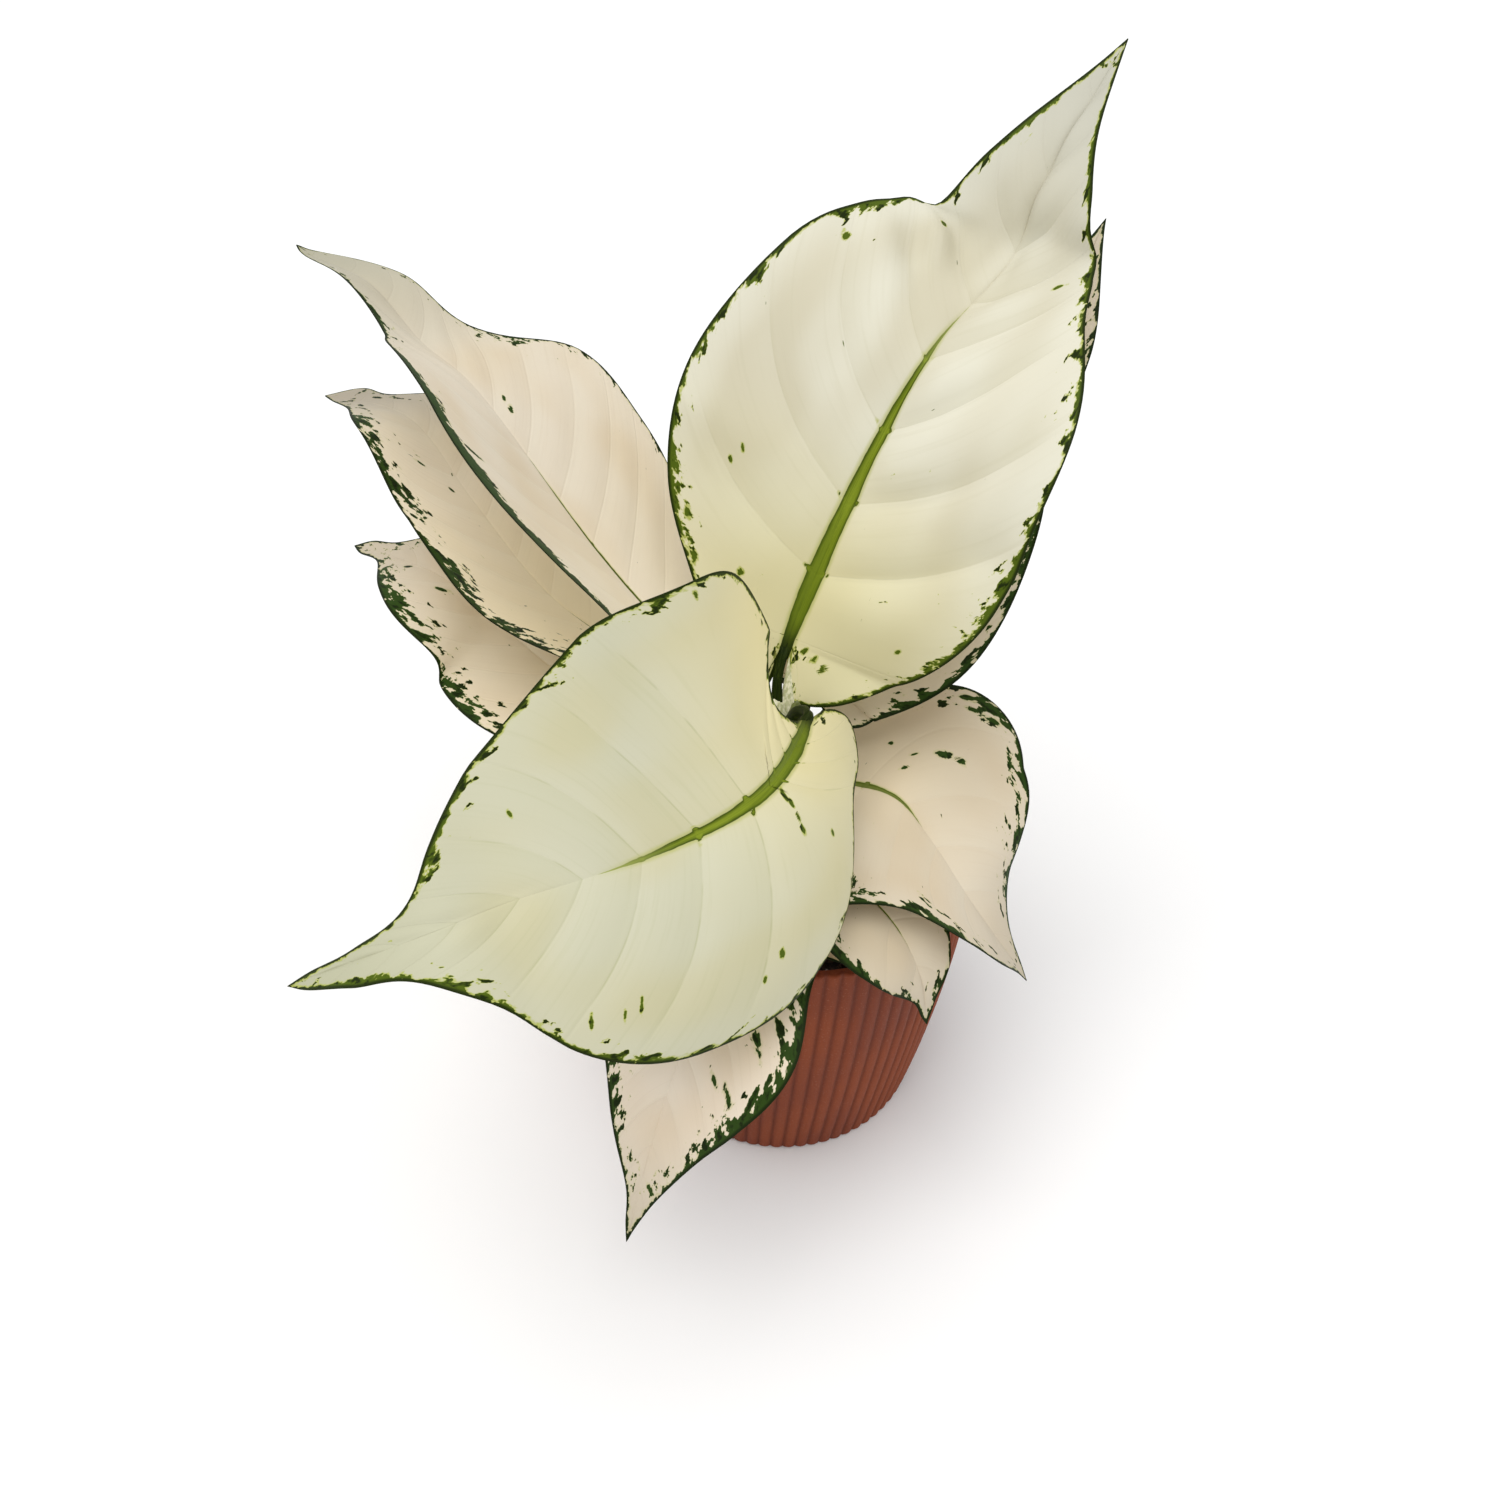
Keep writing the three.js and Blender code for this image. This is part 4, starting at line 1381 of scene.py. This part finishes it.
def build_leaf(name, leaf, look):
    """One leaf: the blade's shell and the stalk in one piece, with their maps and values."""
    grid = whole_blade(leaf, look)
    places = (grid["along"], grid["across"])
    lift = blade_relief(leaf, look, grid["vein"], grid["reach"], *places)
    if look["pucker"]:
        lift = lift + puckers(*places, *look["pucker"])
    points, faces = blade_shell(leaf, grid, lift)
    rings, distance = stalk_rings(leaf)
    stalk = tube_points(rings)
    stalk_faces = [face[::-1] for face in tube_faces(len(rings), stalk_sides, len(points))]
    piece = mesh_piece(name + "_detail", np.vstack([points, stalk]), faces + stalk_faces, name)
    for map_name, values in leaf_maps(grid, rings, distance).items():
        give_map(piece, map_name, values)
    for value in ("from_edge", "line", "flecks", "vein"):
        on_blade = np.tile(grid[value].ravel(), 2)
        remember(piece, value, np.append(on_blade, np.full(len(stalk), 50.0 * (value == "from_edge"))))
    which = np.repeat([0, 1], [len(faces), len(stalk_faces)]).astype(np.int32)
    piece.data.polygons.foreach_set("material_index", which)
    return piece


leaf_pieces = {name: build_leaf(name, leaf, looks[name]) for name, leaf in leaves.items()}

# %% [markdown]
# ## The leaf's colours
#
# The white parts of such a leaf have no green grain in their cells, and the green ones have. The
# border between them is crisp and ragged. A painted picture would blur there when it is seen from
# near, so everything is drawn by sums. Four things lie on the cream: faint veins, the green line
# round the edge, the flecks, and the green midrib. Each is a number from 0 to 1 that lays its own
# colour over what is there already.

# %% The colours that all leaves share
# lit_cream is a painted highlight, laid on the blade just before each side vein.
lit_cream = (0.78, 0.75, 0.62)
halo_green = (0.40, 0.44, 0.07)
rib_glow = (0.42, 0.44, 0.10)
rib_border = (0.045, 0.070, 0.003)
rib_fibre = (0.09, 0.13, 0.005)
rib_lower = (0.08, 0.125, 0.004)
rib_tip = (0.40, 0.44, 0.12)
rib_foot = (0.012, 0.022, 0.002)

# %% The values that a leaf's finish reads


def product(tree, *factors):
    """All factors multiplied."""
    result = factors[0]
    for factor in factors[1:]:
        result = sum_of(tree, "MULTIPLY", result, factor)
    return result


def leaf_values(tree, look):
    """Reads the maps and the values that the mesh remembers, and works out from them how far a
    place is from the next side vein, in mm, and whether it is well inside the blade."""
    read = {name: add(tree, "ShaderNodeUVMap", uv_map=name) for name in ("flat", "grain", "fleck")}
    axes = add(tree, "ShaderNodeSeparateXYZ", {0: read["flat"]}).node
    read["along"] = axes.outputs[0]
    read["aside"] = axes.outputs[1]
    read["across"] = sum_of(tree, "ABSOLUTE", axes.outputs[1])
    for name in ("from_edge", "line", "flecks", "vein"):
        read[name] = add(tree, "ShaderNodeAttribute", output="Fac", attribute_name=name)
    read["from_vein"] = product(tree, sum_of(tree, "PINGPONG", read["vein"], 0.5), look["vein_gap"])
    read["inside"] = remap(tree, read["from_edge"], 3, 20)
    return read


# %% [markdown]
# The cream is cooler and whiter towards the edge, and tinged yellow-green next to the midrib near the
# base. Just past each side vein, towards the tip, a deeper tone is painted as shade. Before the next
# vein, a paler one is painted as a highlight, where the quilted blade turns away from the light above and
# then towards it. The vein itself is a hairline. One noise could stand for all of this, but the tones
# follow the veins, so they are worked out from the vein count.

# %% The tones of the cream


def cream_clouds(tree, read, look, seed):
    """Warm and cool clouds, and a cooler edge."""
    clouds = noise(tree, read["flat"], (0.20, 0.30, 1), seed + 1, detail=1)
    cream = blend(tree, remap(tree, clouds, 0.34, 0.66), look["warm"], look["cool"])
    return blend(tree, remap(tree, read["from_edge"], 16, 1, 0, 0.7), cream, look["cool"])


def vein_tones(tree, read, look, cream, seed):
    """Painted shade just past each side vein, a painted highlight before the next, and fine streaks."""
    past_vein = sum_of(tree, "FRACT", read["vein"])
    deep = product(tree, remap(tree, read["aside"], -0.5, 0.5, *look["deep"]), read["inside"])
    # Painted shade just past each side vein and a painted highlight before the next, where the quilted
    # blade's slopes turn away from the light and then towards it.
    darker = product(tree, remap(tree, past_vein, 0.6, 0.0), deep, 0.45)
    cream = blend(tree, darker, cream, look["shade"])
    paler = product(tree, remap(tree, past_vein, 0.5, 0.95), deep, 0.6)
    cream = blend(tree, paler, cream, lit_cream)
    streaks = noise(tree, read["grain"], (14, 0.30, 1), seed + 2, detail=3)
    return blend(tree, remap(tree, streaks, 0.50, 0.75, 0, 0.12), cream, look["shade"])


def base_and_tip(tree, read, look, cream, length):
    """The base's tone about the stalk, and the tip's towards the end."""
    aside = sum_of(tree, "ABSOLUTE", sum_of(tree, "SUBTRACT", read["aside"], look["base_shift"]))
    near_stalk = remap(tree, aside, 8, 1, 0.4, 1)
    near_base = product(tree, remap(tree, read["along"], look["base_reach"], 1), near_stalk, 0.85)
    cream = blend(tree, near_base, cream, look["base"])
    return blend(tree, remap(tree, read["along"], 0.55 * length, length), cream, look["tip"])


# %% The cream of a blade


def cream_of(tree, read, look, length, seed):
    """All tones of the cream, and the hairline veins, broken here and there."""
    cream = cream_clouds(tree, read, look, seed)
    cream = vein_tones(tree, read, look, cream, seed)
    cream = base_and_tip(tree, read, look, cream, length)
    breaks = remap(tree, noise(tree, read["grain"], (2.0, 0.6, 1), seed + 9), 0.42, 0.56)
    near_vein = remap(tree, read["from_vein"], 0.40, 0.10)
    hairline = product(tree, near_vein, breaks, read["inside"], look["hairline"])
    return blend(tree, hairline, cream, look["shade"])


# %% [markdown]
# The flecks are ragged blobs that crowd at the edge and lean the way the veins do there. They
# could be scattered one by one, but one noise makes them all. It is read in the map that runs
# along the edge, and cut off at a level that is low where the leaf is heavily marked and rises
# inwards. A yellow-green halo shows where the noise is only just below the level. The line at the
# edge is as wide as the mesh says, but frayed by the same noise.

# %% The flecks and the line at the edge


def above_level(tree, read, look, grains, seed):
    """How far the noise is above the flecks' level, which also wavers from place to place."""
    patches = noise(tree, read["fleck"], (0.8, 1.0, 1), seed + 4, detail=1)
    inward = remap(tree, read["from_edge"], 0, 12 * look["band"], 0.675, 0.95)
    level = sum_of(tree, "SUBTRACT", inward, product(tree, read["flecks"], 0.13))
    level = sum_of(tree, "ADD", level, remap(tree, patches, 0.38, 0.62, 0.05, -0.05))
    return sum_of(tree, "SUBTRACT", grains, level)


def inside_line(tree, read, grains):
    """How far a place is inside the frayed line at the edge, in millimetres."""
    frays = product(tree, sum_of(tree, "SUBTRACT", grains, 0.49), 12)
    frays = product(tree, frays, remap(tree, read["line"], 0.3, 2.5, 0.12, 1))
    return sum_of(tree, "ADD", sum_of(tree, "SUBTRACT", read["line"], read["from_edge"]), frays)


# %% Strays and single spots


def stray_flecks(tree, read, look, seed):
    """Cover of the few tiny flecks that stray over the blade, in some parts of it only."""
    specks = noise(tree, read["grain"], (15, 2.4, 1), seed + 5, detail=2)
    parts = noise(tree, read["flat"], (0.5, 0.5, 1), seed + 6, detail=1)
    level = remap(tree, parts, 0.50, 0.65, 0.85, 0.76 - 0.05 * look["strays"])
    return remap(tree, sum_of(tree, "SUBTRACT", specks, level), -0.005, 0.010)


def spot_inside(tree, read, grains, middle, size, slant):
    """1 in the middle of one spot, 0 at its border, less outside. It is an oval turned along the
    side veins, frayed by the noise of the flecks."""
    turn = np.radians(slant) * np.sign(middle[1])
    inputs = {"Vector": read["flat"], "Location": (*middle, 0), "Rotation": (0, 0, turn)}
    inputs["Scale"] = (*size, 1)
    laid = add(tree, "ShaderNodeMapping", inputs, vector_type="TEXTURE")
    away = add(tree, "ShaderNodeVectorMath", {0: laid}, output="Value", operation="LENGTH")
    frays = product(tree, sum_of(tree, "SUBTRACT", grains, 0.5), 4)
    return sum_of(tree, "SUBTRACT", sum_of(tree, "ADD", frays, 1.0), away)


# %% All green marks together


def green_marks(tree, read, look, seed):
    """Cover of the green, cover of its halo, and a number that varies from fleck to fleck."""
    grains = noise(tree, read["fleck"], (1.6, 3.4, 1), seed + 3, detail=3, roughness=0.6)
    over = above_level(tree, read, look, grains, seed)
    spare = inside_line(tree, read, grains)
    green = sum_of(tree, "MAXIMUM", remap(tree, spare, -0.10, 0.12), remap(tree, over, -0.005, 0.008))
    green = sum_of(tree, "MAXIMUM", green, stray_flecks(tree, read, look, seed))
    halo = sum_of(tree, "MAXIMUM", remap(tree, over, -0.04, -0.002), remap(tree, spare, -0.8, 0.0))
    for along, across, length, width in look["spots"]:
        inside = spot_inside(tree, read, grains, (along, across), (length, width), look["spot_turn"])
        green = sum_of(tree, "MAXIMUM", green, remap(tree, inside, -0.08, 0.08))
        halo = sum_of(tree, "MAXIMUM", halo, remap(tree, inside, -0.7, 0.0))
    return green, product(tree, halo, look["halo"]), grains


# %% [markdown]
# The midrib is a bright olive band with darker borders. It narrows slowly at first and then
# quickly, and ends a little past the middle of the blade. It could be a strip of its own mesh, but
# on the plant it is only the colour of the channel that the blade already has.

# %% The midrib's width and colours


def rib_half_width(tree, read, look, used, seed):
    """Width (1 - used), less at the stalk, frayed, with a barb where a side vein leaves it."""
    frays = noise(tree, read["flat"], (1.6, 5, 1), seed + 7, detail=3)
    half = product(tree, sum_of(tree, "SUBTRACT", 1.0, used), look["rib"][0])
    half = product(tree, half, remap(tree, read["along"], -0.3, 2.4, 0.6, 1))
    half = sum_of(tree, "ADD", half, product(tree, sum_of(tree, "SUBTRACT", frays, 0.5), 0.08))
    near_vein = remap(tree, read["from_vein"], 1.4, 0.2)
    barbs = product(tree, near_vein, remap(tree, frays, 0.40, 0.60, 0, 0.18))
    return sum_of(tree, "ADD", half, product(tree, barbs, remap(tree, half, 0.02, 0.2)))


def rib_colours(tree, read, look, used, inside, seed):
    """Olive with a darker border and fibres, nearly black at the stalk, yellow-green at its tip."""
    fibres = noise(tree, read["flat"], (0.5, 22, 1), seed + 8, detail=2)
    border = remap(tree, inside, 0.0, 0.45 * look["rib"][0])
    colour = blend(tree, border, rib_border, look["rib_green"])
    colour = blend(tree, remap(tree, fibres, 0.48, 0.65, 0, 0.5), colour, rib_fibre)
    colour = blend(tree, remap(tree, read["along"], 7, 1, 0, 0.5), colour, rib_lower)
    colour = blend(tree, remap(tree, used, 0.6, 1.0, 0, 0.9 * look["halo"]), colour, rib_tip)
    return blend(tree, remap(tree, read["along"], 1.2, -0.4, 0, 0.95), colour, rib_foot)


# %% The green midrib


def midrib_of(tree, read, look, seed):
    """Cover, glow and colour. Half-width is width (1 - used), where used is (along/length)^1.6."""
    width, length = look["rib"]
    reached = product(tree, sum_of(tree, "MAXIMUM", read["along"], 0.0), 1 / length)
    used = sum_of(tree, "POWER", reached, 1.6)
    half = rib_half_width(tree, read, look, used, seed)
    inside = sum_of(tree, "SUBTRACT", half, read["across"])
    cover = product(tree, remap(tree, inside, -0.012, 0.012), remap(tree, used, 1.05, 0.97))
    glow = product(tree, remap(tree, inside, -0.5 * width, 0.0), remap(tree, used, 1.05, 0.7), 0.65)
    return cover, glow, rib_colours(tree, read, look, used, inside, seed)


# %% [markdown]
# The blade is satin and a little rough to the touch, so its shine is broad and weak. The finish
# lays one thing over the other: cream, halo, green marks, glow, midrib. A layered material of
# several shaders would look the same and be slower.

# %% The finish of a blade


def blade_finish(name, look, length, seed):
    """Cream, its halo, the green marks and the midrib, over a fine relief of vein and grain."""
    material, tree, shader = new_finish(name)
    read = leaf_values(tree, look)
    green, halo, grains = green_marks(tree, read, look, seed)
    colour = blend(tree, halo, cream_of(tree, read, look, length, seed), halo_green)
    near_edge = remap(tree, read["from_edge"], 1.5, 0.5, 0, 0.95)
    depth = sum_of(tree, "MAXIMUM", remap(tree, grains, 0.54, 0.65), near_edge)
    colour = blend(tree, green, colour, blend(tree, depth, look["green"], look["dark"]))
    rib, glow, rib_colour = midrib_of(tree, read, look, seed)
    colour = blend(tree, rib, blend(tree, glow, colour, rib_glow), rib_colour)
    tree.links.new(colour, shader.inputs["Base Color"])
    shader.inputs["Roughness"].default_value = 0.5
    shader.inputs["Specular IOR Level"].default_value = 0.08
    fine = noise(tree, read["grain"], (60, 4, 1), seed + 10, detail=3)
    valley = remap(tree, read["from_vein"], 0.0, 0.9)
    height = sum_of(tree, "ADD", valley, product(tree, fine, 0.25))
    relief(tree, shader, height, 0.00012, 0.6)
    return material


# %% [markdown]
# The stalks are dark green, almost black at the crown, and paler where they clasp the cane and
# where they run out under the blade as the back of the midrib. Each could have its own colour at
# each end by vertex paint, but the distance along the stalk is in the map already.

# %% The stalk's finish
stalk_shade = (0.008, 0.016, 0.001)
stalk_light = (0.022, 0.035, 0.003)
rib_back = (0.42, 0.44, 0.24)
stalk_clasp = (0.20, 0.25, 0.10)


def stalk_finish():
    """Dark green, finely streaked lengthways, paler towards the foot and under the blade."""
    material, tree, shader = new_finish("stalk")
    flat = add(tree, "ShaderNodeUVMap", uv_map="flat")
    along = add(tree, "ShaderNodeSeparateXYZ", {0: flat})
    streaks = noise(tree, flat, (1.5, 14, 1), 3, detail=3)
    colour = blend(tree, remap(tree, streaks, 0.4, 0.65), stalk_shade, stalk_light)
    colour = blend(tree, remap(tree, along, 0.5, 5.0, 0, 0.85), colour, rib_back)
    colour = blend(tree, remap(tree, along, -3.0, -4.5, 0, 0.6), colour, stalk_clasp)
    tree.links.new(colour, shader.inputs["Base Color"])
    shader.inputs["Roughness"].default_value = 0.5
    shader.inputs["Specular IOR Level"].default_value = 0.07
    relief(tree, shader, streaks, 0.0002, 0.5)
    return material


# %% Dress the leaves
stalk_material = stalk_finish()
for number, (name, piece) in enumerate(leaf_pieces.items()):
    length = leaves[name]["length"] / 10
    blade_material = blade_finish(name + "_blade", looks[name], length, 11.0 * (number + 1))
    dress(piece, blade_material, stalk_material)

# %% [markdown]
# At the crown, thin sheaths stand round the youngest stalks: pale skins that wrapped the leaf
# while it was rolled up. One clasps the stalk of the upper right leaf, and the tip of another
# stands beside it. They could be split open along one side, as some real ones are, but here they
# are seen closed. So each is a flattened tube that narrows towards its end.

# %% The sheaths


def sheath(name, path, half_widths, half_depths):
    """A tube along the path with an oval section, given its half-widths and half-depths."""
    places = np.linspace(0, len(path) - 1, 30)
    middle = smooth_path(path, places)
    wide = smooth_path(np.array(half_widths)[:, None], places)
    deep = smooth_path(np.array(half_depths)[:, None], places)
    direction = unit(np.gradient(middle, axis=0))
    aside = unit(np.cross(direction, [0, 1, 0.3]))
    forward = np.cross(aside, direction)
    turn = np.linspace(0, 2 * np.pi, 24, endpoint=False)
    outward = aside[:, None] * (wide * np.cos(turn))[..., None]
    outward = outward + forward[:, None] * (deep * np.sin(turn))[..., None]
    rings = middle[:, None] + outward
    faces = [face[::-1] for face in tube_faces(len(places), len(turn))]
    return mesh_piece(name, tube_points(rings), faces, None)


# %% The sheaths' finish
skin_shade = (0.44, 0.45, 0.24)
skin_light = (0.76, 0.74, 0.55)


def pale_skin():
    """Whitish green and streaked lengthways, with a soft gloss."""
    material, tree, shader = new_finish("pale_skin")
    place = add(tree, "ShaderNodeTexCoord", output="Object")
    streaks = noise(tree, place, (900, 900, 60), detail=3)
    colour = blend(tree, remap(tree, streaks, 0.40, 0.62), skin_shade, skin_light)
    tree.links.new(colour, shader.inputs["Base Color"])
    shader.inputs["Roughness"].default_value = 0.4
    relief(tree, shader, streaks, 0.0003, 0.5)
    return material


# %% The two sheaths
clasping_widths = [3.6, 3.3, 2.9, 2.1]
clasping = sheath(
    "clasping_sheath",
    [[-9, -3, 176], [-11, 0, 183], [-13, 3, 189.5], [-13.1, 3.6, 190.6]],
    clasping_widths,
    clasping_widths,
)
pointed = sheath(
    "pointed_sheath",
    [[-9, 1, 184], [-8.8, 3, 190], [-9.2, 7, 198], [-9.8, 11, 206]],
    [2.6, 3.0, 1.9, 0.2],
    [1.2, 1.2, 0.8, 0.2],
)
skin = pale_skin()
dress(clasping, skin)
dress(pointed, skin)

# %% [markdown]
# ## The floor, the light and the camera
#
# The photograph has a plain white ground and a broad, nearly shadowless light. Large area lights
# round the plant would be the studio's own way. A wide pale floor, an even white sky and one very
# soft sun from above the viewer come close to it with fewer settings, and look the same from all
# sides.

# %% The floor
floor_shade = (0.90, 0.90, 0.90)
floor_light = (0.91, 0.91, 0.91)


def pale_floor():
    """A matt, nearly white floor with the faintest mottling."""
    material, tree, shader = new_finish("pale_floor")
    place = add(tree, "ShaderNodeTexCoord", output="Object")
    mottle = noise(tree, place, (6, 6, 6), detail=2)
    colour = blend(tree, remap(tree, mottle, 0.3, 0.7), floor_shade, floor_light)
    tree.links.new(colour, shader.inputs["Base Color"])
    shader.inputs["Roughness"].default_value = 0.9
    shader.inputs["Specular IOR Level"].default_value = 0.1
    return material


floor_half = 6.0
corners = np.array([[-1, -1, 0], [1, -1, 0], [1, 1, 0], [-1, 1, 0]]) * floor_half
floor_mesh = bpy.data.meshes.new("floor")
floor_mesh.from_pydata(corners.tolist(), [], [(0, 1, 2, 3)])
floor_mesh.materials.append(pale_floor())
floor = bpy.data.objects.new("floor", floor_mesh)
bpy.context.scene.collection.objects.link(floor)

# %% The sky and the sun
world = bpy.data.worlds.new("studio")
bpy.context.scene.world = world
world.use_nodes = True
sky = world.node_tree.nodes["Background"]
sky.inputs["Color"].default_value = (0.985, 0.99, 1.0, 1)
sky.inputs["Strength"].default_value = 0.70
print("sky:", sky.inputs["Strength"].default_value)


def turned_to(right, up, back, place=(0, 0, 0)):
    """The matrix of something that looks away from back, with these right and up."""
    matrix = np.eye(4)
    matrix[:3, :3] = np.stack([right, up, back], -1)
    matrix[:3, 3] = place
    return Matrix(matrix.tolist())


sun_from = unit(np.array([-0.20, -0.22, 0.95]))
sun_side = unit(np.cross([0, 0, 1], sun_from))
sun_light = bpy.data.lights.new("soft_sun", "SUN")
sun_light.energy = 1.75
sun_light.angle = np.radians(48)
sun_light.color = (1.0, 0.99, 0.97)
sun = bpy.data.objects.new("soft_sun", sun_light)
sun.matrix_world = turned_to(sun_side, np.cross(sun_from, sun_side), sun_from)
bpy.context.scene.collection.objects.link(sun)
bpy.context.scene.view_settings.view_transform = "Standard"

# %% [markdown]
# The camera looks down on the plant at 42 degrees and leans 4.5 degrees. It could be aimed with a
# tracking constraint, but its place and its turn were found together, by laying the pot's round
# rim and the leaves over the photograph, so both are written down as they are.

# %% The camera
look_down = np.radians(42)
lean = np.radians(4.5)
eye = (-0.0214, -0.3967, 0.5258)
forward = np.array([0, np.cos(look_down), -np.sin(look_down)])
level_up = np.array([0, np.sin(look_down), np.cos(look_down)])
level_right = np.array([1.0, 0, 0])
camera_right = np.cos(lean) * level_right + np.sin(lean) * level_up
camera_up = np.cos(lean) * level_up - np.sin(lean) * level_right
camera_data = bpy.data.cameras.new("camera")
camera_data.sensor_width = 36.0
camera_data.lens = 34.56
camera_data.clip_end = 50.0
camera = bpy.data.objects.new("camera", camera_data)
camera.matrix_world = turned_to(camera_right, camera_up, -forward, eye)
bpy.context.scene.collection.objects.link(camera)
bpy.context.scene.camera = camera
print("camera at", eye)
